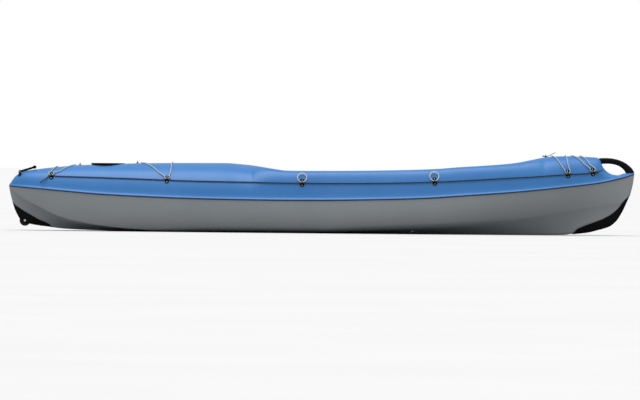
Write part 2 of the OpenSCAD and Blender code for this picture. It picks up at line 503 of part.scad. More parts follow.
// ---- hatches and drain ----
hatch_x = -1450 * kx;
hatch_z = facet_pt(hatch_x, 1)[2] - 4;
day_x = 217 * kx;
day_z = floor_z(day_x / half_l);
ring_t = 15;
module hatch_rim(d, top, low) difference() {
    union() {
        translate([0, 0, low]) cylinder(d = d + 2 * ring_t, h = top - low);
        translate([0, 0, low]) cylinder(d = d + 2 * ring_t + 14, h = 3);
    }
    translate([0, 0, low - 1]) cylinder(d = d, h = top - low + 2);
}
module hatch_ring(d, z, h) translate([0, 0, z]) rotate_extrude() translate([d / 2 + ring_t / 2 - 3,
    0]) square([6, h]);
module hatch_lid(d, z) translate([0, 0, z]) {
    difference() {
        union() {
            cylinder(d = d + 2 * ring_t - 2, h = 9);
            translate([0, 0, -14]) cylinder(d = d - 4, h = 15);
        }
        translate([0, 0, -15]) cylinder(d = d - 14, h = 18);
        translate([0, 0, 5]) difference() {
            cylinder(d = d - 20, h = 5);
            translate([-d / 2, -11, -1]) cube([d, 22, 7]);
        }
    }
}
module stern_hatch_rim() color("#202124") translate([hatch_x, 0, 0]) rotate([0, 0,
    11]) hatch_rim(hatch_d, hatch_z, hatch_z - 40);
module stern_hatch_seal() color("#2b2b2b") translate([hatch_x, 0, 0]) hatch_ring(hatch_d, hatch_z + 0.1, 2);
module stern_hatch_cover() color("#202124") translate([hatch_x, 0, 0]) hatch_lid(hatch_d, hatch_z + 2.3);
module day_hatch_rim() color("#202124") translate([day_x, 0, 0]) rotate([0, 0,
    11]) hatch_rim(day_hatch_d, day_z + 6, day_z - 16);
module day_hatch_seal() color("#2b2b2b") translate([day_x, 0, 0]) hatch_ring(day_hatch_d, day_z + 6.1, 2);
module day_hatch_cover() color("#202124") translate([day_x, 0, 0]) hatch_lid(day_hatch_d, day_z + 8.3);

drain_frame = side_frame(-1905 * kx, 0.62);
module drain_socket() color("#202124") in_frame(drain_frame) difference() {
    union() {
        translate([0, 0, 0.4]) cylinder(d = drain_d + 20, h = 3);
        translate([0, 0, -16]) cylinder(d = drain_d + 8, h = 17);
    }
    translate([0, 0, -17]) cylinder(d = drain_d, h = 25);
}
module drain_washer() color("#2b2b2b") in_frame(drain_frame) translate([0, 0, 3.5]) difference() {
    cylinder(d = drain_d + 14, h = 1.8);
    translate([0, 0, -1]) cylinder(d = drain_d, h = 4);
}
module drain_plug() color("#202124") in_frame(drain_frame) translate([0, 0, 5.4]) {
    cylinder(d = drain_d + 15, h = 4);
    translate([0, 0, -18]) cylinder(d = drain_d - 0.5, h = 19);
    translate([-(drain_d + 8) / 2, -3, 3.5]) cube([drain_d + 8, 6, 7]);
}

// ---- cockpit ----
function well_y(x, z) =
    let (u = x / half_l, sink = (ridge_z(u) - floor_z(u)) * curve(sink_share, u),
        s = (ridge_z(u) - z) / sink)
    crest_y(u) * curve([for (b = bowl) if (b[1] < 1) [b[1], b[0]]], s);
scupper_spots = [[-302, 92], [620, 84]];
function fin_z_at(u, y) =
    let (k = end_share(u), y0 = keel_y(u), y1 = chine_y(u), yc = y0 + (y1 - y0) * (0.5 - 0.25 * k))
    let (a = y0 - 2 * yc + y1, b = 2 * (yc - y0), c = y0 - y)
    fin_pt(u, abs(a) < 0.01 ? -c / b : (-b + sqrt(b * b - 4 * a * c)) / (2 * a))[1];
scupper_wall = 3;
module scupper_at() for (s = scupper_spots) for (side = [-1, 1])
    translate([s[0] * kx, side * s[1] * ky, 0]) rotate([0, 0, 11]) {
        $low = fin_z_at(s[0] / 2120, s[1] * ky);
        $high = floor_z(s[0] / 2120);
        children();
    }
module scupper_cuts(extra) scupper_at() translate([0, 0, -20]) cylinder(d = scupper_d
    + 2 * scupper_wall + extra, h = 300);
module scupper_tubes() color("#4f8fd0") scupper_at() difference() {
    union() {
        translate([0, 0, $low + 2]) cylinder(d = scupper_d + 2 * scupper_wall, h = $high - $low);
        translate([0, 0, $high + 1.5]) cylinder(d = scupper_d + 2 * scupper_wall + 10, h = 2.5);
    }
    translate([0, 0, $low - 5]) cylinder(d = scupper_d, h = $high - $low + 20);
}

rod_x = -236 * kx;
rod_z = seat_floor + 50;
back_t = 12;
back_lean = 10;
bracket_y = back_w / 2 + 4;
module backrest_brackets() color("#202124") both_sides() difference() {
    union() {
        translate([rod_x - 26, bracket_y, seat_floor + 1.4]) cube([52, 24, 4]);
        translate([rod_x - 13, bracket_y, seat_floor + 1.4]) cube([26, 7, rod_z - seat_floor]);
        translate([rod_x, bracket_y + 7, rod_z]) rotate([90, 0, 0]) cylinder(d = 26, h = 7);
    }
    translate([rod_x, bracket_y + 20, rod_z]) rotate([90, 0, 0]) cylinder(d = axle_d, h = 40);
}
module backrest_rod() color("#c9ccce") translate([rod_x, 0, rod_z]) rotate([90, 0, 0])
    cylinder(d = axle_d, h = 2 * bracket_y + 18, center = true);
module back_frame() translate([rod_x, 0, rod_z]) rotate([0, -back_lean, 0]) children();
module rounded_panel(w, h, t, r) {
    translate([0, -w / 2 + r, 0]) cube([t, w - 2 * r, h]);
    translate([0, -w / 2, r]) cube([t, w, h - 2 * r]);
    for (y = [-w / 2 + r, w / 2 - r]) for (z = [r, h - r]) translate([0, y, z]) rotate([0, 90,
        0]) cylinder(r = r, h = t);
}
module backrest_panel() color("#2a2c2f") back_frame() difference() {
    union() {
        translate([-back_t / 2, 0, 6]) rounded_panel(back_w, back_h, back_t, 38);
        for (y = [-1, 1]) translate([0, y * (back_w / 2 - 50) + 22, 0]) rotate([90, 0, 0])
            cylinder(d = axle_d + 12, h = 44);
        for (y = [-1, 1]) translate([-back_t / 2, y * (back_w / 2 - 50) - 22, 0]) cube([back_t, 44, 30]);
    }
    translate([0, back_w / 2 + 10, 0]) rotate([90, 0, 0]) cylinder(d = axle_d + 2 * axle_clear,
        h = back_w + 20);
}
module backrest_cushion() color("#33363a") back_frame() translate([back_t / 2 + 0.4, 0, 34])
    rounded_panel(back_w - 20, back_h - 34, 26, 34);
module seat_pad() color("#33363a") translate([-196 * kx, 0, seat_floor + 1.4]) {
    l = 206 * kx;
    w = 320 * ky;
    r = 50;
    translate([r, -w / 2, 0]) cube([l - 2 * r, w, 20]);
    translate([0, -w / 2 + r, 0]) cube([l, w - 2 * r, 20]);
    for (x = [r, l - r]) for (y = [-w / 2 + r, w / 2 - r]) translate([x, y, 0]) cylinder(r = r, h = 20);
}

// Foot rests: a rail on each wall of the foot wells, a pedal that slides on it and its release lever
rail_x = 690 * kx;
rail_z = foot_floor + 97;
rail_gap = 20;
bar_t = 10;
bar_h = 22;
sleeve_t = 5;
slide_clear = 0.4;
rail_y0 = well_y(rail_x - rail_l / 2, rail_z) - rail_gap;
rail_y1 = well_y(rail_x + rail_l / 2, rail_z) - rail_gap;
rail_turn = atan((rail_y1 - rail_y0) / rail_l);
module in_rail() translate([rail_x, (rail_y0 + rail_y1) / 2, rail_z]) rotate([0, 0, rail_turn]) children();
module rail() in_rail() {
    translate([-rail_l / 2, -bar_t / 2, -bar_h / 2]) cube([rail_l, bar_t, bar_h]);
    for (s = [-1, 1]) translate([s * (rail_l / 2 - 14) - 14, -bar_t / 2, -bar_h / 2 - 6])
        cube([28, rail_gap + bar_t / 2 - 3, bar_h + 12]);
}
module rail_screws() both_sides() in_rail() for (s = [-1, 1]) translate([s * (rail_l / 2 - 14),
    -bar_t / 2, 0])
    rotate([90, 0, 0]) pan_screw(rail_gap + 8);
module footrest_rail_port() color("#202124") rail();
module footrest_rail_starboard() color("#202124") starboard() rail();
module footrest_screws() color("#c9ccce") rail_screws();
sleeve_l = 56;
module pedal() in_rail() {
    difference() {
        translate([-sleeve_l / 2, -bar_t / 2 - slide_clear - sleeve_t, -bar_h / 2 - slide_clear - sleeve_t])
            cube([sleeve_l, bar_t + 2 * (sleeve_t + slide_clear), bar_h + 2 * (sleeve_t + slide_clear)]);
        translate([-sleeve_l / 2 - 1, -bar_t / 2 - slide_clear, -bar_h / 2 - slide_clear])
            cube([sleeve_l + 2, bar_t + 2 * slide_clear, bar_h + 2 * slide_clear]);
    }
    translate([sleeve_l / 2 - 10, -bar_t / 2 - slide_clear - sleeve_t - pedal_w, 0]) rotate([0, -12, 0])
        translate([0, 0, -pedal_h / 2]) cube([9, pedal_w + 1, pedal_h]);
    for (y = [-7, 5]) translate([-sleeve_l / 2 + 12, y, bar_h / 2 + slide_clear
        + sleeve_t - 1]) difference() {
        union() {
            translate([-6, -1, 0]) cube([12, 3, 9]);
            translate([0, 2, 9]) rotate([90, 0, 0]) cylinder(d = 12, h = 3);
        }
        translate([0, 10, 9]) rotate([90, 0, 0]) cylinder(d = 4, h = 20);
    }
}
lever_local = [-sleeve_l / 2 + 12, -0.5, bar_h / 2 + slide_clear + sleeve_t + 8];
module lever() in_rail() translate(lever_local) difference() {
    union() {
        translate([0, 4, 0]) rotate([90, 0, 0]) cylinder(d = 11, h = 8);
        translate([0, -4, -2]) rotate([0, 24, 0]) translate([-44, 0, 0]) cube([44, 8, 6]);
    }
    translate([0, 10, 0]) rotate([90, 0, 0]) cylinder(d = 4 + 2 * axle_clear, h = 20);
}
module lever_pin() in_rail() translate(lever_local) translate([0, 7, 0]) rotate([90, 0, 0])
    cylinder(d = 4, h = 15);
module foot_pedal_port() color("#202124") pedal();
module foot_pedal_starboard() color("#202124") starboard() pedal();
module pedal_lever_port() color("#c8442c") lever();
module pedal_lever_starboard() color("#c8442c") starboard() lever();
module pedal_pin_port() color("#c9ccce") lever_pin();
module pedal_pin_starboard() color("#c9ccce") starboard() lever_pin();

// Flotation blocks under the closed decks
module foam_block(x, l, w) translate([x * kx - l / 2, -w / 2, seam_z(x / 2120) - 110]) cube([l, w,
    240 * kz]);
module stern_foam() color("#e8e8e0") foam_block(-1100, 260, 60);
module bow_foam() color("#e8e8e0") foam_block(1680, 200, 60);

module hull_shell() color("#7f868a") difference() {
    g = grid_of(stations, false);
    shell_between(g, inner_grid(g, wall, 1));
    scupper_cuts(0.6);
}
module deck_shell() color("#4f8fd0") difference() {
    g = grid_of(stations, true);
    shell_between(g, inner_grid(g, wall, -1));
    scupper_cuts(0.6);
    translate([hatch_x, 0, hatch_z - 30]) rotate([0, 0, 11]) cylinder(d = hatch_d + 2 * ring_t + 1, h = 80);
    translate([day_x, 0, day_z - 12]) rotate([0, 0, 11]) cylinder(d = day_hatch_d + 2 * ring_t + 1, h = 80);
    in_frame(drain_frame) translate([0, 0, -14]) rotate([0, 0, 11]) cylinder(d = drain_d + 9, h = 30);
}

hull_shell();
deck_shell();
bow_bumper();
stern_bumper();
bumper_screws();
stern_wheel();
wheel_axle();
bow_handle();
stern_handle();
stern_handle_lugs();
stern_handle_pins();
deck_line_port();
deck_line_starboard();
pad_eyes_port();
pad_eyes_starboard();
pad_eye_screws();
loop_seat_port();
loop_seat_starboard();
loop_knee_port();
loop_knee_starboard();
stern_bungee();
rear_bungee();
bow_bungee();
ridge_hooks();
cord_tail();
stern_hatch_rim();
stern_hatch_seal();
stern_hatch_cover();
day_hatch_rim();
day_hatch_seal();
day_hatch_cover();
drain_socket();
drain_washer();
drain_plug();
scupper_tubes();
backrest_brackets();
backrest_rod();
backrest_panel();
backrest_cushion();
seat_pad();
footrest_rail_port();
footrest_rail_starboard();
footrest_screws();
foot_pedal_port();
foot_pedal_starboard();
pedal_lever_port();
pedal_lever_starboard();
pedal_pin_port();
pedal_pin_starboard();
stern_foam();
bow_foam();
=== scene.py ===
# %% [markdown]
# # A moulded sit-on-top touring kayak
# The boat is two rotationally moulded plastic shells, a grey hull and a blue deck, that meet at a
# lipped seam. Black rubber bumpers guard the keel at both ends, a black arch over a notch in the
# bow is the carrying handle, and a black line runs along each side through six pad eyes. The
# engineering model gives the frame: every fitting already has its true place and size, and this
# lesson adds the smooth skins, the ropes, the cushions and the finishes around it.

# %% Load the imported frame
import json
import math

import bmesh
import bpy
import numpy as np
from mathutils import Matrix, Vector


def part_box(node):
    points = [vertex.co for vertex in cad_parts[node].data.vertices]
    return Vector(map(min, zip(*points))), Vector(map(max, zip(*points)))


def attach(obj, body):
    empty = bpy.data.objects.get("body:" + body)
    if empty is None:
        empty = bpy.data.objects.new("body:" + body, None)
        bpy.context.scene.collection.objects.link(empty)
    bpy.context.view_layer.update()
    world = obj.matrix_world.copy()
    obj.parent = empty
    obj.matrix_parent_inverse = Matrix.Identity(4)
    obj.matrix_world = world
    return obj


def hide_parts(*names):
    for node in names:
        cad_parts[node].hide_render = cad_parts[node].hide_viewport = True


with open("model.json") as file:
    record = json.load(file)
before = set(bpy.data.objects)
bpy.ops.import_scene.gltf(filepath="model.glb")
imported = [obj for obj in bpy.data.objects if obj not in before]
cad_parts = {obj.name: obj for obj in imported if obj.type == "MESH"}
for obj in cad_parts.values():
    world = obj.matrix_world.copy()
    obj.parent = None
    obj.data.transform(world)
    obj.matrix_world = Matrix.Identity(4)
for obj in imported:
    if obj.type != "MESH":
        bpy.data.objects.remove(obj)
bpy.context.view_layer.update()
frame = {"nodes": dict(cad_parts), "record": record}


def add_object(name, data):
    """A new object in the scene for a mesh, a camera or a lamp."""
    piece = bpy.data.objects.new(name, data)
    bpy.context.scene.collection.objects.link(piece)
    return piece


def middle(node):
    """The centre of a node's box, in metres."""
    low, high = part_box(node)
    return (Vector(low) + Vector(high)) / 2


# %% [markdown]
# ## The camera
# The boat is seen square from its starboard side, with the bow to the right, from far away
# through a long lens, so the far side hides behind the near one. The picture is turned by half a
# degree, as a hand-held one is. A long lens on a distant camera was chosen over an orthographic
# one, because real lenses keep a little depth in the pad eyes and the bow handle.

# %% Camera
VIEW_WIDTH = 4.342
CAMERA_BACK = 60.0
CAMERA_UP = 0.008
LOOK_AT = Vector((-0.010, 0.0, 0.224))
CAMERA_ROLL = math.radians(0.55)
camera_data = bpy.data.cameras.new("camera")
camera_data.sensor_width = 36
camera_data.lens = 36 * CAMERA_BACK / VIEW_WIDTH
camera_data.clip_end = 500
camera = add_object("camera", camera_data)
camera.location = LOOK_AT + Vector((0, -CAMERA_BACK, CAMERA_UP * CAMERA_BACK))
camera.rotation_mode = "QUATERNION"
aim = (LOOK_AT - camera.location).to_track_quat("-Z", "Y")
camera.rotation_quaternion = aim @ Matrix.Rotation(CAMERA_ROLL, 3, "Z").to_quaternion()
bpy.context.scene.camera = camera
print("lens", round(camera_data.lens, 1), "mm at", CAMERA_BACK, "m")

# %% [markdown]
# ## The lines of the boat
# A boat is drawn as a few long curves: the keel, the chine where the bottom turns into the side,
# the seam, and the ridge of the deck. Each line here is a short list of stations, given as a
# share of the half length, with its height or half width in millimetres, the same as in the
# engineering model. A shape-preserving cubic joins the stations, which never overshoots between
# them as a plain spline does.

# %% Lines and the curve through them
MM = 0.001
HALF_LENGTH = 2120
KEEL = [(-1, 298), (-0.995, 245), (-0.988, 190), (-0.981, 142), (-0.973, 107), (-0.962, 72),
        (-0.93, 43), (-0.87, 25), (-0.82, 13), (-0.74, 6), (-0.6, 0), (0.7, 0), (0.77, 3), (0.85, 19),
        (0.89, 40), (0.92, 60), (0.942, 95), (0.962, 160), (0.976, 224), (0.988, 286), (0.996, 352),
        (1, 415)]
BUMPER = [(-1, 298), (-0.995, 245), (-0.988, 190), (-0.964, 149), (-0.93, 106), (-0.9, 71),
          (-0.872, 47), (-0.86, 22), (-0.82, 13), (-0.74, 6), (-0.6, 0), (0.7, 0), (0.77, 3),
          (0.803, 12), (0.82, 44), (0.86, 80), (0.896, 109), (0.932, 153), (0.951, 192), (0.969, 243),
          (0.988, 286), (0.996, 352), (1, 415)]
CHINE = [(-1, 299), (-0.972, 245), (-0.94, 201), (-0.9, 160), (-0.866, 122), (-0.8, 74), (-0.7, 38),
         (-0.6, 18), (-0.5, 8), (0, 8), (0.12, 19), (0.25, 33), (0.35, 46), (0.45, 65), (0.55, 88),
         (0.65, 112), (0.77, 155), (0.85, 187), (0.915, 209), (0.96, 228), (0.98, 260), (1, 416)]
SEAM = [(-1, 301), (-0.92, 288), (-0.82, 271), (-0.71, 253), (-0.57, 240), (-0.44, 231), (-0.29, 226),
        (-0.13, 224), (0, 226), (0.155, 233), (0.31, 244), (0.46, 266), (0.616, 292), (0.77, 327),
        (0.885, 358), (0.933, 379), (0.97, 399), (1, 421)]
RIDGE = [(-1, 306), (-0.99, 338), (-0.98, 366), (-0.97, 382), (-0.95, 402), (-0.914, 413),
         (-0.88, 423), (-0.85, 430), (-0.786, 443), (-0.71, 451), (-0.63, 458), (-0.52, 464),
         (-0.39, 467), (-0.305, 468), (-0.267, 463), (-0.229, 456), (-0.19, 443), (-0.152, 430),
         (-0.114, 420), (-0.075, 419), (0.03, 421), (0.155, 425), (0.29, 433), (0.37, 441),
         (0.44, 454), (0.52, 466), (0.6, 481), (0.635, 492), (0.67, 508), (0.71, 526),
         (0.735, 533), (0.79, 537),
         (0.85, 533), (0.88, 529), (0.89, 512), (0.9, 465), (0.915, 432), (0.93, 416), (0.948, 411),
         (0.968, 424), (1, 428)]
SEAM_HALF = [(-1, 12), (-0.996, 34), (-0.985, 58), (-0.96, 90), (-0.92, 126), (-0.86, 166),
             (-0.76, 214), (-0.6, 266), (-0.42, 303), (-0.2, 322), (0, 325), (0.2, 316), (0.4, 289),
             (0.58, 240), (0.72, 186), (0.84, 128), (0.91, 90), (0.955, 60), (0.985, 32), (1, 10)]
CHINE_SHARE = [(-1, 0.95), (-0.9, 0.8), (-0.6, 0.76), (0, 0.7), (0.5, 0.64), (0.8, 0.56),
               (0.93, 0.56), (1, 0.9)]
CREST_SHARE = [(-0.225, 0.15), (-0.221, 0.22), (-0.212, 0.38), (-0.19, 0.58), (-0.16, 0.7),
               (-0.11, 0.78), (0, 0.81), (0.25, 0.8), (0.45, 0.76), (0.58, 0.68), (0.65, 0.54),
               (0.69, 0.36), (0.705, 0.22), (0.71, 0.15)]
SINK_SHARE = [(-0.225, 0), (-0.208, 0.35), (-0.19, 0.72), (-0.172, 0.94), (-0.156, 1), (0.58, 1),
              (0.63, 0.8), (0.67, 0.45), (0.7, 0.12), (0.71, 0)]
FLOOR_STEP = [(-0.2, 1.5), (-0.17, 1.08), (-0.158, 1), (0.02, 1), (0.05, 2.3), (0.066, 2.6),
              (0.14, 2.6), (0.16, 2.3), (0.21, 0), (0.5, 0), (0.58, 1)]
SEAT_FLOOR, FOOT_FLOOR = 150, 118
KEEL_HALF = 14
LIP_OUT, LIP_HIGH = 8, 6
SEAM_GAP = 0.4


def curve(line, where):
    """The height or half width of a line at shares of the half length."""
    xs, ys = np.array(line, float).T
    rise = np.diff(ys) / np.diff(xs)
    slope = np.empty(len(xs))
    slope[0], slope[-1] = rise[0], rise[-1]
    before, after = rise[:-1], rise[1:]
    total = np.where(before + after == 0, 1, before + after)
    slope[1:-1] = np.where(before * after > 0, 2 * before * after / total, 0)
    u = np.clip(np.asarray(where, float), xs[0], xs[-1])
    i = np.clip(np.searchsorted(xs, u, side="right") - 1, 0, len(xs) - 2)
    h = xs[i + 1] - xs[i]
    t = (u - xs[i]) / h
    return (ys[i] * (1 + 2 * t) * (1 - t) ** 2 + slope[i] * h * t * (1 - t) ** 2
            + ys[i + 1] * t * t * (3 - 2 * t) + slope[i + 1] * h * t * t * (t - 1))


def bend(a, b, c, f):
    """A quadratic bend from a to c, pulled towards b."""
    return a * (1 - f) ** 2 + b * 2 * f * (1 - f) + c * f * f


def keel_z(u):
    return curve(KEEL, u)


def seam_y(u):
    return curve(SEAM_HALF, u)


def keel_y(u):
    return np.minimum(KEEL_HALF, seam_y(u) * 0.6)


def chine_y(u):
    return np.maximum(seam_y(u) * curve(CHINE_SHARE, u), keel_y(u) + 1)


def chine_z(u):
    return np.maximum(curve(CHINE, u), keel_z(u) + 1)


def crest_y(u):
    return seam_y(u) * curve(CREST_SHARE, u)


def floor_z(u):
    return FOOT_FLOOR + (SEAT_FLOOR - FOOT_FLOOR) * curve(FLOOR_STEP, u)


print("ridge at the cockpit:", round(float(curve(RIDGE, 0)), 1), "mm; half beam", float(seam_y(0)))

# %% [markdown]
# ## Finishes: shared effects
# Nothing on the boat is one flat colour. Moulded polyethylene has a fine orange-peel skin, a slow
# drift of tone where the powder melted thicker, small scuffs and a little chalking on its edges.
# Four effects are built once as shader node groups, so that each finish can place them with its
# own values: a speckled tone, worn edges, fine scratches and a rope's braid.

# %% Node helpers
def new_node(tree, kind, **values):
    """Adds a node and sets its inputs by name or its properties."""
    node = tree.nodes.new(kind)
    for key, value in values.items():
        if key in node.inputs:
            node.inputs[key].default_value = value
        else:
            setattr(node, key, value)
    return node


def start_group(name, inputs, outputs):
    """An empty shader group with named inputs (name, kind, value) and outputs (name, kind)."""
    tree = bpy.data.node_groups.new(name, "ShaderNodeTree")
    for label, kind, value in inputs:
        socket = tree.interface.new_socket(label, in_out="INPUT", socket_type="NodeSocket" + kind)
        socket.default_value = value
    for label, kind in outputs:
        tree.interface.new_socket(label, in_out="OUTPUT", socket_type="NodeSocket" + kind)
    return tree, tree.nodes.new("NodeGroupInput"), tree.nodes.new("NodeGroupOutput")


def maths(tree, operation, first, second=None, clamp=False):
    """A Math node; numbers are set on it and sockets are linked to it."""
    node = tree.nodes.new("ShaderNodeMath")
    node.operation = operation
    node.use_clamp = clamp
    for slot, value in zip(node.inputs, (first, second)):
        if value is None:
            continue
        if isinstance(value, (int, float)):
            slot.default_value = value
        else:
            tree.links.new(value, slot)
    return node.outputs[0]


def object_place(tree, scale=(1, 1, 1)):
    """Coordinates in the object's own metres, stretched by a scale."""
    where = tree.nodes.new("ShaderNodeTexCoord").outputs["Object"]
    mapping = new_node(tree, "ShaderNodeMapping", Scale=scale)
    tree.links.new(where, mapping.inputs["Vector"])
    return mapping.outputs["Vector"]


def noise(tree, place, scale, detail=4.0, roughness=0.55):
    node = new_node(tree, "ShaderNodeTexNoise", Scale=scale, Detail=detail, Roughness=roughness)
    tree.links.new(place, node.inputs["Vector"])
    return node.outputs["Fac"]


def ramp(tree, value, low, high, to_low=0.0, to_high=1.0):
    """Maps a value's range onto another, clamped."""
    node = new_node(tree, "ShaderNodeMapRange", clamp=True)
    limits = {"From Min": low, "From Max": high, "To Min": to_low, "To Max": to_high}
    for key, number in limits.items():
        node.inputs[key].default_value = number
    tree.links.new(value, node.inputs["Value"])
    return node.outputs["Result"]


def mixed(tree, factor, first, second, blend="MIX"):
    """A colour mix; colours given as tuples are set, sockets are linked."""
    node = tree.nodes.new("ShaderNodeMix")
    node.data_type = "RGBA"
    node.blend_type = blend
    factor_slot, first_slot, second_slot = (node.inputs[i] for i in (0, 6, 7))
    for slot, value in ((factor_slot, factor), (first_slot, first), (second_slot, second)):
        if isinstance(value, (int, float, tuple)):
            slot.default_value = value
        else:
            tree.links.new(value, slot)
    return node.outputs[2]


print("node helpers ready")


# %% Group: speckled tone
def make_tone_group():
    """Slow drift and fine speckle of a moulded plastic, between a dark and a light colour."""
    tree, inside, out = start_group(
        "Speckled tone",
        [("Dark", "Color", (0.1, 0.1, 0.1, 1)), ("Light", "Color", (0.2, 0.2, 0.2, 1)),
         ("Drift scale", "Float", 2.0), ("Speckle scale", "Float", 900.0),
         ("Speckle amount", "Float", 0.25)],
        [("Color", "Color"), ("Height", "Float")])
    place = object_place(tree)
    drift = new_node(tree, "ShaderNodeTexNoise", Detail=5.0, Roughness=0.6)
    speckle = new_node(tree, "ShaderNodeTexNoise", Detail=2.0, Roughness=0.5)
    for node, name in ((drift, "Drift scale"), (speckle, "Speckle scale")):
        tree.links.new(place, node.inputs["Vector"])
        tree.links.new(inside.outputs[name], node.inputs["Scale"])
    grain = maths(tree, "MULTIPLY", maths(tree, "SUBTRACT", speckle.outputs["Fac"], 0.5),
                  inside.outputs["Speckle amount"])
    amount = maths(tree, "ADD", ramp(tree, drift.outputs["Fac"], 0.3, 0.7), grain, clamp=True)
    tree.links.new(mixed(tree, amount, inside.outputs["Dark"], inside.outputs["Light"]),
                   out.inputs["Color"])
    tree.links.new(speckle.outputs["Fac"], out.inputs["Height"])
    return tree


# %% Group: worn edges
def make_edge_group():
    """A mask that is 1 on outer edges, broken up by noise, for rubbed corners."""
    tree, inside, out = start_group(
        "Worn edges",
        [("Start", "Float", 0.52), ("Full", "Float", 0.60), ("Break-up scale", "Float", 60.0)],
        [("Mask", "Float")])
    point = tree.nodes.new("ShaderNodeNewGeometry").outputs["Pointiness"]
    edge = new_node(tree, "ShaderNodeMapRange", clamp=True)
    tree.links.new(point, edge.inputs["Value"])
    tree.links.new(inside.outputs["Start"], edge.inputs["From Min"])
    tree.links.new(inside.outputs["Full"], edge.inputs["From Max"])
    patches = new_node(tree, "ShaderNodeTexNoise", Detail=6.0, Roughness=0.7)
    tree.links.new(object_place(tree), patches.inputs["Vector"])
    tree.links.new(inside.outputs["Break-up scale"], patches.inputs["Scale"])
    tree.links.new(maths(tree, "MULTIPLY", edge.outputs["Result"],
                         ramp(tree, patches.outputs["Fac"], 0.42, 0.62)), out.inputs["Mask"])
    return tree


# %% Group: fine scratches
def make_scratch_group():
    """Thin scuffs that run mostly along the boat, as sand and kerbs leave them."""
    tree, inside, out = start_group(
        "Fine scratches", [("Scale", "Float", 1.0), ("Amount", "Float", 0.5)], [("Mask", "Float")])
    total = None
    for number, (turn, stretch) in enumerate(((0.05, 9), (-0.16, 14), (0.5, 22))):
        where = tree.nodes.new("ShaderNodeTexCoord").outputs["Object"]
        mapping = new_node(tree, "ShaderNodeMapping", Scale=(3, 3 * stretch, 3 * stretch),
                           Rotation=(0.0, turn, turn), Location=(number * 3.7, number * 1.9, 0.4))
        tree.links.new(where, mapping.inputs["Vector"])
        line = new_node(tree, "ShaderNodeTexNoise", Detail=3.0, Roughness=0.45)
        tree.links.new(mapping.outputs["Vector"], line.inputs["Vector"])
        tree.links.new(inside.outputs["Scale"], line.inputs["Scale"])
        thin = ramp(tree, maths(tree, "ABSOLUTE", maths(tree, "SUBTRACT", line.outputs["Fac"], 0.5)),
                    0.0, 0.006, 1.0, 0.0)
        total = thin if total is None else maths(tree, "MAXIMUM", total, thin)
    gate = ramp(tree, noise(tree, object_place(tree), 4.0, 5.0), 0.5, 0.68)
    faint = maths(tree, "MULTIPLY", maths(tree, "MULTIPLY", total, gate), inside.outputs["Amount"])
    tree.links.new(faint, out.inputs["Mask"])
    return tree


# %% Group: a rope's braid
def make_braid_group():
    """Braided cover of a rope, from its UV: U runs along it in metres, V once around it."""
    tree, inside, out = start_group(
        "Rope braid",
        [("Picks per metre", "Float", 260.0), ("Strands", "Float", 8.0), ("Fleck", "Float", 0.3)],
        [("Height", "Float"), ("Shade", "Float"), ("Fleck mask", "Float")])
    uv = tree.nodes.new("ShaderNodeUVMap").outputs["UV"]
    split = tree.nodes.new("ShaderNodeSeparateXYZ")
    tree.links.new(uv, split.inputs[0])
    along = maths(tree, "MULTIPLY", split.outputs["X"], inside.outputs["Picks per metre"])
    around = maths(tree, "MULTIPLY", split.outputs["Y"], inside.outputs["Strands"])
    waves = []
    for sign in ("ADD", "SUBTRACT"):
        turned = maths(tree, "MULTIPLY", maths(tree, sign, along, around), math.pi)
        waves.append(maths(tree, "ABSOLUTE", maths(tree, "SINE", turned)))
    height = maths(tree, "MAXIMUM", waves[0], waves[1])
    cell = maths(tree, "MULTIPLY", waves[0], waves[1])
    tree.links.new(height, out.inputs["Height"])
    tree.links.new(ramp(tree, cell, 0.0, 0.5, 0.72, 1.0), out.inputs["Shade"])
    stripe = maths(tree, "FRACT", maths(tree, "MULTIPLY", maths(tree, "ADD", along, around), 0.5))
    chosen = maths(tree, "LESS_THAN", stripe, inside.outputs["Fleck"])
    tree.links.new(chosen, out.inputs["Fleck mask"])
    return tree


TONE, EDGES, SCRATCHES, BRAID = (make_tone_group(), make_edge_group(), make_scratch_group(),
                                 make_braid_group())
print("groups:", ", ".join(g.name for g in bpy.data.node_groups))

# %% [markdown]
# ## Finishes: the materials
# Each material keeps its own shader and sets its even values, such as sheen and gloss, straight on
# it. The groups feed only what changes over the surface: colour, roughness and the height of the
# bump.

# %% One helper for every surface
def surface(name, roughness, bump, distance=0.001, **shader_values):
    """A material with its shader and a bump node, ready for groups to feed."""
    material = bpy.data.materials.new(name)
    material.use_nodes = True
    tree = material.node_tree
    shader = tree.nodes["Principled BSDF"]
    shader.inputs["Roughness"].default_value = roughness
    for key, value in shader_values.items():
        shader.inputs[key.replace("_", " ")].default_value = value
    relief = new_node(tree, "ShaderNodeBump", Strength=bump, Distance=distance)
    tree.links.new(relief.outputs["Normal"], shader.inputs["Normal"])
    return material, tree, shader, relief


def place_group(tree, group, **values):
    node = tree.nodes.new("ShaderNodeGroup")
    node.node_tree = group
    for key, value in values.items():
        node.inputs[key.replace("_", " ")].default_value = value
    return node


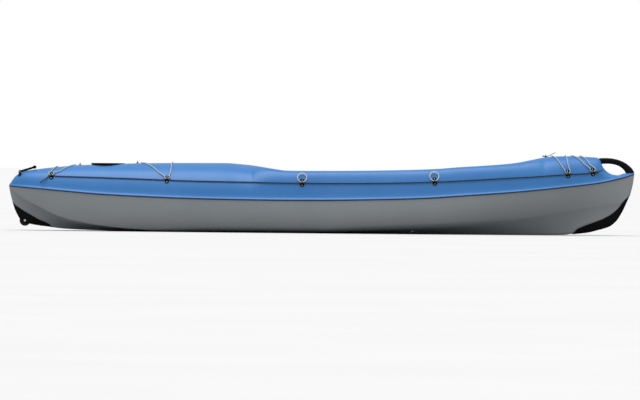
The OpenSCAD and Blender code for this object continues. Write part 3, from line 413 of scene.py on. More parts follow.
def moulded_plastic(name, dark, light, worn, rough=(0.34, 0.5), wear=0.6, speckle=0.2, grain=1400.0,
                    bump=0.12, scratches=0.5, drift=1.6, scratch_scale=1.0, edge=(0.52, 0.62),
                    gloss=0.5):
    """Moulded plastic: speckled tone, orange-peel bump, scuffs and chalky worn edges."""
    material, tree, shader, relief = surface(name, rough[0], bump, Specular_IOR_Level=gloss)
    tone = place_group(tree, TONE, Dark=(*dark, 1), Light=(*light, 1), Drift_scale=drift,
                       Speckle_scale=grain, Speckle_amount=speckle)
    rubbed = place_group(tree, EDGES, Start=edge[0], Full=edge[1])
    scuffs = place_group(tree, SCRATCHES, Amount=scratches, Scale=scratch_scale)
    edge_amount = maths(tree, "MULTIPLY", rubbed.outputs["Mask"], wear)
    marks = maths(tree, "MAXIMUM", edge_amount, maths(tree, "MULTIPLY", scuffs.outputs["Mask"], 0.5))
    colour = mixed(tree, marks, tone.outputs["Color"], (*worn, 1))
    tree.links.new(colour, shader.inputs["Base Color"])
    patches = noise(tree, object_place(tree), 7.0, 6.0)
    dull = ramp(tree, maths(tree, "ADD", patches, maths(tree, "MULTIPLY", marks, 0.6)), 0.35, 0.95,
                rough[0], rough[1])
    tree.links.new(dull, shader.inputs["Roughness"])
    peel = noise(tree, object_place(tree), grain * 0.35, 2.0)
    height = maths(tree, "ADD", maths(tree, "MULTIPLY", peel, 0.6),
                   maths(tree, "MULTIPLY", tone.outputs["Height"], 0.4))
    tree.links.new(maths(tree, "SUBTRACT", height, maths(tree, "MULTIPLY", marks, 0.5)),
                   relief.inputs["Height"])
    return material


# %% Shell, bumper and fitting plastics
FINISH = {
    "deck_blue": moulded_plastic("Blue deck shell", (0.030, 0.188, 0.515), (0.048, 0.222, 0.570),
                                 (0.30, 0.46, 0.68), rough=(0.36, 0.50), wear=0.35, scratches=0.35),
    "hull_grey": moulded_plastic("Grey hull shell", (0.262, 0.286, 0.304), (0.302, 0.327, 0.346),
                                 (0.42, 0.43, 0.43), rough=(0.40, 0.55), wear=0.35, scratches=0.7),
    "black_plastic": moulded_plastic("Black fitting plastic", (0.004, 0.004, 0.0045),
                                     (0.010, 0.010, 0.011), (0.08, 0.08, 0.08), rough=(0.34, 0.50),
                                     grain=2600.0, drift=20.0, scratch_scale=6.0, gloss=0.05,
                                     wear=0.15),
    "black_rubber": moulded_plastic("Black bumper rubber", (0.0035, 0.0035, 0.004),
                                    (0.008, 0.008, 0.009), (0.06, 0.06, 0.06), rough=(0.50, 0.70),
                                    grain=1800.0, bump=0.2, drift=6.0, scratches=0.6,
                                    gloss=0.05, wear=0.15),
    "tyre": moulded_plastic("Trolley wheel plastic", (0.010, 0.010, 0.011), (0.020, 0.020, 0.021),
                            (0.14, 0.135, 0.125), rough=(0.5, 0.72), grain=2200.0, bump=0.25,
                            drift=30.0, scratches=0.9, scratch_scale=8.0, gloss=0.12, wear=0.25),
    "lever_red": moulded_plastic("Red lever plastic", (0.42, 0.045, 0.022), (0.52, 0.070, 0.035),
                                 (0.70, 0.32, 0.26), rough=(0.30, 0.46), grain=2600.0, drift=30.0),
    "foam": moulded_plastic("Flotation foam", (0.66, 0.66, 0.61), (0.80, 0.80, 0.76),
                            (0.88, 0.88, 0.84), rough=(0.8, 0.95), grain=420.0, bump=0.6, speckle=0.5,
                            scratches=0.0),
}
print("plastics:", ", ".join(FINISH))


# %% Stainless steel
def stainless_steel():
    """Pressed steel of screws, axles and the back rest rod: fine lathe lines and light tarnish."""
    material, tree, shader, relief = surface("Stainless steel", 0.25, 0.08, 0.0004, Metallic=1.0)
    tone = place_group(tree, TONE, Dark=(0.46, 0.46, 0.45, 1), Light=(0.66, 0.66, 0.65, 1),
                       Drift_scale=45.0, Speckle_scale=3000.0, Speckle_amount=0.3)
    rubbed = place_group(tree, EDGES, Start=0.51, Full=0.6)
    lines = noise(tree, object_place(tree, (900, 900, 60)), 3.0, 3.0)
    tree.links.new(mixed(tree, rubbed.outputs["Mask"], tone.outputs["Color"], (0.82, 0.82, 0.81, 1)),
                   shader.inputs["Base Color"])
    tree.links.new(ramp(tree, lines, 0.3, 0.7, 0.2, 0.38), shader.inputs["Roughness"])
    tree.links.new(lines, relief.inputs["Height"])
    return material


FINISH["steel"] = stainless_steel()


# %% Rope and shock cord covers
def braided(name, dark, light, fleck, picks, strands, share, sheen=0.2):
    """A braided cover: its strands catch light on their backs, with flecks of a second colour."""
    material, tree, shader, relief = surface(name, 0.62, 0.55, 0.0012)
    shader.inputs["Sheen Weight"].default_value = sheen
    shader.inputs["Sheen Roughness"].default_value = 0.45
    braid = place_group(tree, BRAID, Picks_per_metre=picks, Strands=strands, Fleck=share)
    tone = place_group(tree, TONE, Dark=(*dark, 1), Light=(*light, 1), Drift_scale=18.0,
                       Speckle_scale=2400.0, Speckle_amount=0.35)
    shaded = mixed(tree, braid.outputs["Shade"], tuple(c * 0.45 for c in dark) + (1,),
                   tone.outputs["Color"])
    tree.links.new(mixed(tree, braid.outputs["Fleck mask"], shaded, (*fleck, 1)),
                   shader.inputs["Base Color"])
    tree.links.new(ramp(tree, noise(tree, object_place(tree), 160.0), 0.3, 0.7, 0.55, 0.75),
                   shader.inputs["Roughness"])
    tree.links.new(braid.outputs["Height"], relief.inputs["Height"])
    return material


FINISH["line_black"] = braided("Black deck line", (0.004, 0.004, 0.0045), (0.011, 0.011, 0.012),
                               (0.024, 0.025, 0.028), 210.0, 8.0, 0.12)
FINISH["cord_pale"] = braided("Pale shock cord", (0.50, 0.53, 0.52), (0.74, 0.77, 0.76),
                              (0.17, 0.27, 0.25), 230.0, 8.0, 0.24)
FINISH["loop_white"] = braided("White rope loop", (0.70, 0.70, 0.68), (0.86, 0.86, 0.84),
                               (0.62, 0.62, 0.60), 190.0, 8.0, 0.1)


# %% Cushion cover
def woven_cover():
    """Coated woven nylon over foam, in dark grey, with a basket weave and dusted high spots."""
    material, tree, shader, relief = surface("Cushion cover weave", 0.8, 0.5, 0.0009)
    shader.inputs["Sheen Weight"].default_value = 0.35
    shader.inputs["Sheen Roughness"].default_value = 0.5
    place = object_place(tree)
    waves = []
    for axis in ("X", "Y", "Z"):
        wave = new_node(tree, "ShaderNodeTexWave", wave_type="BANDS", bands_direction=axis,
                        Scale=95.0, Distortion=0.4, Detail=1.0)
        tree.links.new(place, wave.inputs["Vector"])
        waves.append(wave.outputs["Fac"])
    weave = maths(tree, "MAXIMUM", maths(tree, "MULTIPLY", waves[0], waves[1]),
                  maths(tree, "MULTIPLY", waves[1], waves[2]))
    tone = place_group(tree, TONE, Dark=(0.022, 0.024, 0.028, 1), Light=(0.046, 0.049, 0.055, 1),
                       Drift_scale=9.0, Speckle_scale=1500.0, Speckle_amount=0.5)
    rubbed = place_group(tree, EDGES, Start=0.5, Full=0.58)
    thread = mixed(tree, weave, (0.016, 0.017, 0.020, 1), tone.outputs["Color"])
    worn = maths(tree, "MULTIPLY", rubbed.outputs["Mask"], 0.5)
    tree.links.new(mixed(tree, worn, thread, (0.12, 0.12, 0.125, 1)), shader.inputs["Base Color"])
    tree.links.new(ramp(tree, weave, 0, 1, 0.86, 0.7), shader.inputs["Roughness"])
    tree.links.new(weave, relief.inputs["Height"])
    return material


FINISH["cushion"] = woven_cover()
print("all finishes:", ", ".join(FINISH))

# %% [markdown]
# ## Finishes on the frame's own parts
# A part whose shape is already right keeps its mesh and only gets the finish of its slot.

# %% Dress the engineering parts
SLOT_OF = {part["node"]: part["material_slot"] for part in frame["record"]["subparts"]}
for name, node in frame["nodes"].items():
    for place in node.material_slots:
        place.material = FINISH[SLOT_OF[name]]
print("dressed", len(frame["nodes"]), "parts")

# %% [markdown]
# ## Skins from sections
# A moulded shell is one thin skin. Its cross sections are computed close together along the boat
# and joined row by row into a grid of quads, which keeps the highlights long and even. A block
# cut down by sculpting would never get such fair lines. Each section is half the boat, mirrored
# about the middle, so both sides match exactly.

# %% Helpers that turn sections into meshes
def finished(form, name):
    """A new mesh from a bmesh, which is freed."""
    mesh = bpy.data.meshes.new(name)
    form.to_mesh(mesh)
    form.free()
    return mesh


def facing_out(mesh):
    """Turns the faces of a closed mesh outwards."""
    form = bmesh.new()
    form.from_mesh(mesh)
    bmesh.ops.recalc_face_normals(form, faces=form.faces)
    form.to_mesh(mesh)
    form.free()
    return mesh


def put(name, mesh, body, material=None, smooth=True):
    """Makes an object of a mesh, gives it its finish and lets it ride on a body."""
    piece = add_object(name, mesh)
    if material is not None:
        mesh.materials.append(material)
    mesh.polygons.foreach_set("use_smooth", [smooth] * len(mesh.polygons))
    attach(piece, body)
    return piece


def grid_mesh(name, rows, close_rows=False, close_ends=False):
    """A mesh of quads over rows of points in millimetres; rows is an array (n, m, 3)."""
    n, m, _ = rows.shape
    index = np.arange(n * m).reshape(n, m)
    ahead = np.roll(index, -1, axis=1) if close_rows else index[:, 1:]
    here = index if close_rows else index[:, :-1]
    faces = np.stack([here[:-1], ahead[:-1], ahead[1:], here[1:]], -1).reshape(-1, 4).tolist()
    if close_ends:
        faces += [index[0, ::-1].tolist(), index[-1].tolist()]
    mesh = bpy.data.meshes.new(name)
    mesh.from_pydata((rows.reshape(-1, 3) * MM).tolist(), [], faces)
    mesh.update()
    return mesh


def mirrored(u, half):
    """Whole sections from half sections (n, m, 2) of half width and height, seam to middle."""
    other = half[:, ::-1].copy()
    if np.allclose(half[:, -1, 0], 0):
        other = other[:, 1:]
    near = half.copy()
    near[..., 0] *= -1
    section = np.concatenate([near, other], axis=1)
    along = np.broadcast_to((u * HALF_LENGTH)[:, None, None], section.shape[:2] + (1,))
    return np.concatenate([along, section], axis=2)


def face_towards(piece, direction):
    """Turns an open skin's faces, if need be, so that most of its area looks in a direction."""
    mesh = piece.data
    if sum(p.normal.dot(direction) * p.area for p in mesh.polygons) < 0:
        mesh.flip_normals()


def thicken(piece, wall, side=-1):
    """Gives a skin its wall thickness, as applied geometry."""
    solid = piece.modifiers.new("wall", "SOLIDIFY")
    solid.thickness = wall * MM
    solid.offset = side
    solid.use_rim = True
    solid.use_quality_normals = True
    apply_all(piece)


def apply_all(piece):
    """Applies every modifier of a piece."""
    seen = bpy.context.evaluated_depsgraph_get()
    mesh = bpy.data.meshes.new_from_object(piece.evaluated_get(seen))
    old = piece.data
    piece.modifiers.clear()
    piece.data = mesh
    bpy.data.meshes.remove(old)


def cylinder_between(name, a, b, radius, sides=64):
    """A plain round cutter from a to b, both in millimetres; it is removed after use."""
    a, b = Vector(a) * MM, Vector(b) * MM
    form = bmesh.new()
    bmesh.ops.create_cone(form, cap_ends=True, segments=sides, radius1=radius * MM,
                          radius2=radius * MM, depth=(b - a).length)
    turn = (b - a).to_track_quat("Z", "Y").to_matrix().to_4x4()
    bmesh.ops.transform(form, matrix=Matrix.Translation((a + b) / 2) @ turn, verts=form.verts)
    return add_object(name, finished(form, name))


def cut_holes(piece, cutters):
    """Cuts the cutters out of a piece and deletes them."""
    for number, cutter in enumerate(cutters):
        cut = piece.modifiers.new(f"hole_{number}", "BOOLEAN")
        cut.object = cutter
        cut.operation = "DIFFERENCE"
        cut.solver = "MANIFOLD"
    apply_all(piece)
    for cutter in cutters:
        mesh = cutter.data
        bpy.data.objects.remove(cutter)
        bpy.data.meshes.remove(mesh)


# %% [markdown]
# ## Where the sections stand
# Sections stand close where the shape turns fast, at the stem, the stern, the ends of the cockpit
# and the bow notch, and further apart where the boat runs straight. Even spacing would need three
# times as many for the same crispness at the notch.

# %% Stations
def spread(stretches):
    """Shares of the half length: each stretch gives its end and how many steps lead to it."""
    marks = [-1.0]
    for end, count in stretches:
        start = marks[-1]
        marks += [start + (end - start) * (i + 1) / count for i in range(count)]
    return np.array(marks)


HULL_STATIONS = spread([(-0.985, 8), (-0.85, 22), (-0.5, 22), (0.5, 34), (0.8, 24), (0.95, 26),
                        (0.985, 10), (1, 10)])
DECK_STATIONS = spread([(-0.985, 8), (-0.9, 12), (-0.3, 36), (-0.225, 8), (-0.15, 26), (0.0, 14),
                        (0.07, 18), (0.14, 8), (0.22, 20), (0.56, 26), (0.72, 36), (0.875, 18),
                        (0.96, 44), (1, 12)])
print("sections:", len(HULL_STATIONS), "in the hull,", len(DECK_STATIONS), "in the deck")

# %% [markdown]
# ## The grey hull
# Amidships the bottom turns softly into the side. Towards both ends the chine becomes a ridge
# with a hollow below it, which catches a light along its edge and a shadow under it. Side and
# bottom are two bends that meet at the chine, and a third short bend rounds the corner between
# them: wide amidships, tight at the ends. At the ends the skin stops at the line of the rubber
# bumpers.

# %% Hull sections
TIGHT_FROM, TIGHT_OVER = 0.35, 0.25                 # where the chine's corner tightens
CORNER_ABOVE, CORNER_BELOW = (0.30, 0.27), (0.28, 0.25)     # reach amidships, loss at the ends
SIDE_ROWS, CORNER_ROWS, BOTTOM_ROWS = 16, 8, 13


def end_share(u):
    """0 amidships, 1 at both ends, where the bottom is hollow."""
    return np.clip((np.abs(u) - 0.35) / 0.5, 0, 1)


def fin_point(u, f):
    """Bottom of a half section, from the keel (f = 0) to the chine (f = 1)."""
    k, y0, y1, z0, z1 = end_share(u), keel_y(u), chine_y(u), keel_z(u), chine_z(u)
    yc = y0 + (y1 - y0) * (0.5 - 0.25 * k)
    zc = z0 + (z1 - z0) * (0.5 + 0.2 * k) + 6 * (1 - k)
    return np.stack([bend(y0, yc, y1, f), bend(z0, zc, z1, f)], -1)


def side_point(u, f):
    """Side of a half section, from the chine (f = 0) to the seam (f = 1)."""
    k, y0, y1, z0, z1 = end_share(u), chine_y(u), seam_y(u), chine_z(u), curve(SEAM, u) - SEAM_GAP
    yc = y1 + 3 * (1 - k) - (y1 - y0) * 0.35 * k
    zc = z0 + (z1 - z0) * (0.1 + 0.35 * k)
    return np.stack([bend(y0, yc, y1, f), bend(z0, zc, z1, f)], -1)


def fin_share(u, z):
    """Share along the bottom at which it reaches a height."""
    k, z0, dz = end_share(u), keel_z(u), chine_z(u) - keel_z(u)
    b = 2 * (dz * (0.5 + 0.2 * k) + 6 * (1 - k))
    a, c = dz - b, z0 - z
    root = (-b + np.sqrt(np.maximum(0, b * b - 4 * a * c))) / (2 * np.where(abs(a) < 0.01, 1, a))
    return np.where(abs(a) < 0.01, np.clip(-c / b, 0, 1), np.clip(root, 0, 0.97))


def hull_half(u):
    """Half sections of the hull, from the seam down to the middle of the keel."""
    start = fin_share(u, curve(BUMPER, u))
    tight = np.clip((np.abs(u) - TIGHT_FROM) / TIGHT_OVER, 0, 1)
    above = CORNER_ABOVE[0] - CORNER_ABOVE[1] * tight
    below = np.minimum(CORNER_BELOW[0] - CORNER_BELOW[1] * tight, (1 - start) * 0.7)
    rows = [side_point(u, 1 - (1 - above) * f) for f in np.linspace(0, 1, SIDE_ROWS)]
    corner = fin_point(u, 1.0)
    p, q = side_point(u, above), fin_point(u, 1 - below)
    rows += [bend(p, corner, q, f) for f in np.linspace(0, 1, CORNER_ROWS)[1:]]
    rows += [fin_point(u, 1 - below - (1 - start - below) * f)
             for f in np.linspace(0, 1, BOTTOM_ROWS)[1:]]
    foot = rows[-1].copy()
    foot[..., 0] *= 0.5
    middle_row = rows[-1].copy()
    middle_row[..., 0] = 0
    return np.stack(rows + [foot, middle_row], 1)


def skin_of(name, u, half):
    """A skin over mirrored half sections, closed across the first and the last one."""
    return grid_mesh(name, mirrored(u, half), close_ends=True)


hull_half_rows = hull_half(HULL_STATIONS)
print("hull section points:", hull_half_rows.shape[1])


# %% Hull skin
WALL = 4
hull = put("hull_skin", skin_of("hull_skin", HULL_STATIONS, hull_half_rows), "boat",
           FINISH["hull_grey"])
face_towards(hull, Vector((0, 0, -1)))
thicken(hull, WALL)
SCUPPER_HOLE = 40.6
SCUPPERS = [(x, side * y) for x, y in ((-302, 92), (620, 84)) for side in (-1, 1)]


def round_cutters(name, holes):
    """One cutter of several round ones: each hole is (x, y, low, high, diameter) in millimetres."""
    form = bmesh.new()
    for x, y, low, high, wide in holes:
        made = bmesh.ops.create_cone(form, cap_ends=True, segments=64, radius1=wide / 2 * MM,
                                     radius2=wide / 2 * MM, depth=(high - low) * MM)
        bmesh.ops.translate(form, verts=made["verts"], vec=Vector((x, y, (low + high) / 2)) * MM)
    return add_object(name, finished(form, name))


cut_holes(hull, [round_cutters("hull_scuppers",
                               [(x, y, -20, 90, SCUPPER_HOLE) for x, y in SCUPPERS])])
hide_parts("hull_shell")
print("hull faces:", len(hull.data.polygons))

# %% [markdown]
# ## The blue deck
# The deck's section starts under the seam lip, goes round the lip's rounded edge, sweeps up the
# side in one bend and rolls over the crest. Beside the cockpit it then drops down a steep wall to
# the floor; on the closed decks it just crosses to the other side. One family of sections does
# both: the depth of the bowl fades in and out along the boat, so there is no seam between deck
# and cockpit.

# %% Deck sections
BOWL = [(0.965, 0.03), (0.93, 0.2), (0.89, 0.62), (0.85, 0.93), (0.78, 0.995), (0.52, 1), (0.26, 1)]
LIP_RISE = 12
FOOT_RIB_HIGH, FOOT_RIB_PITCH = 2.5, 0.0165


def deck_point(u, f):
    """Outer side of a half section, from the lip (f = 0) to the crest (f = 1)."""
    z1, zs, y0 = curve(RIDGE, u), curve(SEAM, u), seam_y(u)
    z0 = np.minimum(zs + LIP_RISE * np.minimum(1, (z1 - zs) / 40), z1 - 2)
    return np.stack([bend(y0 - 1, y0 * 0.95, crest_y(u), f), bend(z0, z1 - 2, z1, f)], -1)


def through(points, steps):
    """A smooth run through rows of points (k, n, 2), with steps between each pair."""
    ahead = np.concatenate([points[1:], points[-1:] * [-1, 1]], 0)
    back = np.concatenate([2 * points[:1] - points[1:2], points[:-1]], 0)
    pull = (ahead - back) / 2
    run = []
    for i in range(len(points) - 1):
        for s in range(1, steps + 1):
            t = s / steps
            run.append(points[i] * (1 + 2 * t) * (1 - t) ** 2 + pull[i] * t * (1 - t) ** 2
                       + points[i + 1] * t * t * (3 - 2 * t) - pull[i + 1] * t * t * (1 - t))
    return run


def deck_half(u):
    """Half sections of the deck, from under the lip to the middle of the boat."""
    ys, ridge = seam_y(u), curve(RIDGE, u)
    zs = curve(SEAM, u) + SEAM_GAP
    out = ys + LIP_OUT * np.minimum(1, ys / 30)
    top = np.minimum(zs + LIP_HIGH, ridge - 4)
    rows = [np.stack(p, -1) for p in (
        (ys - 1, zs), (out - 3, zs), (out - 1.4, zs + 0.1), (out - 0.4, zs + 0.6), (out, zs + 1.6),
        (out, (zs + top) / 2), (out - 0.3, top - 1.2), (out - 1.3, top - 0.2))]
    foot, knee = deck_point(u, 0.10), deck_point(u, 0.0)
    rows += [bend(rows[7], knee, foot, f) for f in np.linspace(0, 1, 7)[1:]]
    rows += [deck_point(u, f) for f in np.linspace(0.10, 0.78, 12)[1:]]
    sink = (ridge - floor_z(u)) * curve(SINK_SHARE, u)
    k = np.minimum(1, sink / 60)
    crest = crest_y(u)
    nodes = [deck_point(u, 0.78), deck_point(u, 0.9), deck_point(u, 1.0)]
    for i, (wide, deep) in enumerate(BOWL):
        share = wide * k + (1 - (i + 1) / (len(BOWL) + 1)) * (1 - k)
        nodes.append(np.stack([crest * share, ridge - sink * deep], -1))
    nodes.append(np.stack([crest * 0, ridge - sink], -1))
    rows += through(np.stack(nodes), 4)
    section = np.stack(rows, 1)
    in_wells = np.clip((u - 0.23) / 0.03, 0, 1) * np.clip((0.5 - u) / 0.03, 0, 1)
    rib = np.clip(np.cos(2 * np.pi * u / FOOT_RIB_PITCH) * 1.6, -1, 1) * 0.5 + 0.5
    across = np.clip((0.62 - section[..., 0] / crest[:, None]) / 0.06, 0, 1)
    low = section[..., 1] < (floor_z(u) + 3)[:, None]
    section[..., 1] += FOOT_RIB_HIGH * (in_wells * rib)[:, None] * across * low
    return section


# %% Deck skin and its openings
HATCH_X, HATCH_Z, HATCH_CUT = -1450, middle("stern_hatch_rim").z / MM + 20, 231
DAY_X, DAY_CUT = 217, 141
deck = put("deck_skin", skin_of("deck_skin", DECK_STATIONS, deck_half(DECK_STATIONS)), "boat",
           FINISH["deck_blue"])
face_towards(deck, Vector((0, 0, 1)))
thicken(deck, WALL)
cut_holes(deck, [round_cutters(
    "deck_openings",
    [(x, y, 80, 260, SCUPPER_HOLE) for x, y in SCUPPERS]
    + [(HATCH_X, 0, HATCH_Z - 80, HATCH_Z + 80, HATCH_CUT), (DAY_X, 0, 150, 260, DAY_CUT)])])
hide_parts("deck_shell")
print("deck faces:", len(deck.data.polygons))

# %% [markdown]
# ## Seam shadow strip, bumpers and bow handle
# A dark strip is set a little under the lip where the two shells meet, as painted shadow of the lip,
# and reads as a thin line along the whole boat. The bumpers are solid rubber shoes over the bottom of
# the
# stem and the stern: their top edge follows a line up the side, and their section hugs the hull's
# side and then closes in a rounded wedge, standing a little proud of the skin. The bow handle is
# a fat arch, swept along a curved line with an oval section that narrows towards the stem. All
# three are swept from sections, as the skins are.

# %% Seam shadow strip: painted shadow under the lip
def seam_gasket():
    """Closed ring sections of the painted shadow strip under the lip on both sides, as one mesh."""
    u = HULL_STATIONS[(HULL_STATIONS > -0.9995) & (HULL_STATIONS < 0.9995)]
    ys, zs = seam_y(u), curve(SEAM, u) - 0.2
    shape = [(-1.5, 0), (2.2, 0), (3.1, -0.8), (3.3, -2.0), (3.0, -3.4), (2.0, -4.4), (-1.5, -4.8)]
    form = bmesh.new()
    for side in (-1, 1):
        rows = np.stack([np.stack([u * HALF_LENGTH, side * (ys + dy), zs + dz], -1)
                         for dy, dz in shape], 1)
        mesh = grid_mesh("gasket_side", rows, close_rows=True, close_ends=True)
        form.from_mesh(mesh)
        bpy.data.meshes.remove(mesh)
    bmesh.ops.recalc_face_normals(form, faces=form.faces)
    return finished(form, "seam_gasket")


# Painted shadow: this dark brown strip stands in for the shadow under the seam lip, and its finish is
# that shadow's colour.
FINISH["gasket"] = moulded_plastic("Brown seam gasket", (0.030, 0.024, 0.020), (0.055, 0.045, 0.038),
                                   (0.12, 0.11, 0.10), rough=(0.55, 0.75), drift=9.0)
gasket = put("seam_gasket", seam_gasket(), "boat", FINISH["gasket"])

# %% Bumpers
WHEEL_X, WHEEL_Z, AXLE_HALF = -2010, 67, KEEL_HALF + 12
PROUD = 0.9


def skin_width(u, z):
    """Half width of the hull's section at one height of each station."""
    bottom = fin_point(u, fin_share(u, z))[:, 0]
    side = np.stack([side_point(u, f) for f in np.linspace(0, 1, 12)], 1)
    above = [np.interp(height, row[:, 1], row[:, 0]) for height, row in zip(z, side)]
    return np.where(z < chine_z(u), bottom, above)


def bumper_mesh(name, u, widened):
    """A rubber shoe over stations u; widened swells it round the wheel."""
    swell = np.maximum(0, 1 - ((u - WHEEL_X / HALF_LENGTH) / 0.03) ** 2) * (AXLE_HALF - KEEL_HALF)
    foot = KEEL_HALF * np.minimum(1, seam_y(u) / 30) + widened * swell
    z_top = curve(BUMPER, u) - 0.6
    z_low = np.minimum(keel_z(u), z_top - 5)
    z_hip = np.minimum(z_top - 1.5, chine_z(u))
    y_top, y_hip = (np.maximum(skin_width(u, z), foot) for z in (z_top, z_hip))
    across = [(y_top * 0.0, z_top), (y_top * 0.7, z_top), (y_top - 1.0, z_top - 0.2)]
    for f in (0.08, 0.4, 0.7):
        z = z_top + (z_hip - z_top) * f
        across.append((np.maximum(skin_width(u, z), foot) + PROUD, z))
    knee = np.maximum(foot, (y_hip + foot) / 2)
    tall = z_hip - z_low
    for f in np.linspace(0, 1, 8):
        across.append((bend(y_hip + PROUD, knee + PROUD, foot, f),
                       bend(z_hip, z_low + tall * 0.45, z_low + tall * 0.2, f)))
    for f in (0.35, 0.7, 1.0):
        across.append((bend(foot, foot * 0.97, foot * 0.55, f),
                       bend(z_low + tall * 0.2, z_low + tall * 0.02, z_low, f)))
    across.append((foot * 0, z_low))
    half = np.stack([np.stack(p, -1) for p in across], 1)
    whole = np.concatenate([half * [-1, 1], half[:, -2:0:-1]], 1)
    along = np.broadcast_to((u * HALF_LENGTH)[:, None, None], whole.shape[:2] + (1,))
    rows = np.concatenate([along, whole], 2)
    return facing_out(grid_mesh(name, rows, close_rows=True, close_ends=True))


BOW_SHOE, STERN_SHOE = np.linspace(0.803, 0.988, 62), np.linspace(-0.9885, -0.862, 58)
bow_bumper = put("bow_bumper_shoe", bumper_mesh("bow_bumper_shoe", BOW_SHOE, 0), "boat",
                 FINISH["black_rubber"])
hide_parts("bow_bumper")
stern_bumper = put("stern_bumper_shoe", bumper_mesh("stern_bumper_shoe", STERN_SHOE, 1), "boat",
                   FINISH["black_rubber"])
WHEEL_ROOM, WHEEL_SLOT = 81, 25
pocket = cylinder_between("wheel_pocket", (WHEEL_X, -WHEEL_SLOT / 2, WHEEL_Z),
                          (WHEEL_X, WHEEL_SLOT / 2, WHEEL_Z), WHEEL_ROOM / 2)
cut_holes(stern_bumper, [pocket])
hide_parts("stern_bumper")
print("bumpers:", len(bow_bumper.data.polygons), len(stern_bumper.data.polygons), "faces")

# %% Bow handle
HANDLE = [(1881, 504, 42, 52), (1905, 507, 40, 44), (1935, 508, 39, 38), (1965, 506, 38, 36),
          (1993, 501, 38, 36), (2020, 492, 39, 36), (2045, 479, 42, 34), (2066, 462, 46, 32),
          (2082, 444, 52, 30), (2090, 430, 56, 28), (2094, 420, 58, 26)]


def handle_mesh(around=28, between=5):
    """The arch: an oval section, slightly squared, swept along the handle's line."""
    knots = np.array(HANDLE, float)
    where = np.arange(len(knots))
    fine = np.linspace(0, len(knots) - 1, (len(knots) - 1) * between + 1)
    x, z, thick, wide = (curve(list(zip(where, knots[:, i])), fine) for i in range(4))
    dx, dz = np.gradient(x), np.gradient(z)
    size = np.hypot(dx, dz)
    nx, nz = -dz / size, dx / size
    rows = []
    for a in np.linspace(0, 2 * np.pi, around, endpoint=False):
        s, c = math.sin(a), math.cos(a)
        up = math.copysign(abs(s) ** 0.8, s) * thick / 2
        out = math.copysign(abs(c) ** 0.8, c) * wide / 2
        rows.append(np.stack([x + nx * up, out, z + nz * up], -1))
    return grid_mesh("bow_arch", np.stack(rows, 1), close_rows=True, close_ends=True)


bow_arch = put("bow_arch", handle_mesh(), "boat", FINISH["black_plastic"])
face_towards(bow_arch, Vector((0, 0, 1)))
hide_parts("bow_handle")
print("bow arch:", len(bow_arch.data.polygons), "faces")

# %% [markdown]
# ## Ropes and cords
# The deck line and the shock cords are laced through the pad eyes and held all the way, so their
# routes are those of the engineering parts. Each is swept as a fine tube whose UV runs in metres
# along the rope, because the braid has to follow every turn of it. A plain curve with a bevel
# would give no such map. The routes start from the same pad eyes, found from the lines of the
# boat.

# %% Places on the deck side
EYES = [(-1828, 372), (-1045, 355), (-132, 342), (763, 359), (1665, 418), (1835, 432)]
EYE_BASE, ROPE, BUNGEE = 3.5, 7, 7
ROPE_LIFT, ROPE_SHIFT = EYE_BASE + ROPE / 2 + 0.6, ROPE / 2 + 0.7
LINE_HEIGHT = [(-0.862, 368), (-0.73, 362), (-0.575, 354), (-0.5, 349), (-0.4, 344), (-0.28, 341),
               (-0.06, 337), (0.155, 341), (0.36, 354), (0.48, 368), (0.6, 385), (0.67, 394),
               (0.77, 410), (0.866, 424)]


def on_side(x, f):
    """A point of the port side of the deck, in millimetres."""
    y, z = deck_point(np.array(x / HALF_LENGTH), f)
    return np.array([x, float(y), float(z)])


def share_at(x, z):
    """Share along the deck side at which it reaches a height."""
    u = np.array(x / HALF_LENGTH)
    z0, z1 = float(deck_point(u, 0)[1]), float(curve(RIDGE, u))
    a, b = z0 - z1 + 4, 2 * (z1 - 2 - z0)
    return (-b + math.sqrt(max(0, b * b - 4 * a * (z0 - z)))) / (2 * a)


def unit(v):
    return v / np.linalg.norm(v)


def side_frame(x, f):
    """Place on the port side, with its forward, down and outward directions."""
    forward = unit(on_side(x + 12, f) - on_side(x - 12, f))
    out = unit(np.cross(on_side(x, min(1, f + 0.04)) - on_side(x, f - 0.04), forward))
    return on_side(x, f), forward, np.cross(out, forward), out


def from_frame(place, p):
    return place[0] + place[1] * p[0] + place[2] * p[1] + place[3] * p[2]


EYE_FRAMES = [side_frame(x, share_at(x, z)) for x, z in EYES]
print("pad eyes on the port side:", [tuple(np.round(e[0] * MM, 3)) for e in EYE_FRAMES])


# %% A rope as a swept tube with its own map
def fair(points, closed, step):
    """A smooth run through points, resampled to even steps, all in millimetres."""
    p = np.array(points, float)
    p = np.concatenate([p[-1:], p, p[:2]]) if closed else np.concatenate(
        [2 * p[:1] - p[1:2], p, 2 * p[-1:] - p[-2:-1]])
    run = []
    for i in range(1, len(p) - 2):
        for t in np.linspace(0, 1, 12, endpoint=False):
            a, b, c, d = p[i - 1:i + 3]
            run.append(0.5 * (2 * b + (c - a) * t + (2 * a - 5 * b + 4 * c - d) * t ** 2
                              + (3 * b - a - 3 * c + d) * t ** 3))
    run.append(p[-2])
    run = np.array(run)
    far = np.concatenate([[0], np.cumsum(np.linalg.norm(np.diff(run, axis=0), axis=1))])
    even = np.linspace(0, far[-1], max(8, int(far[-1] / step)) + 1)
    return np.stack([np.interp(even, far, run[:, i]) for i in range(3)], 1), even


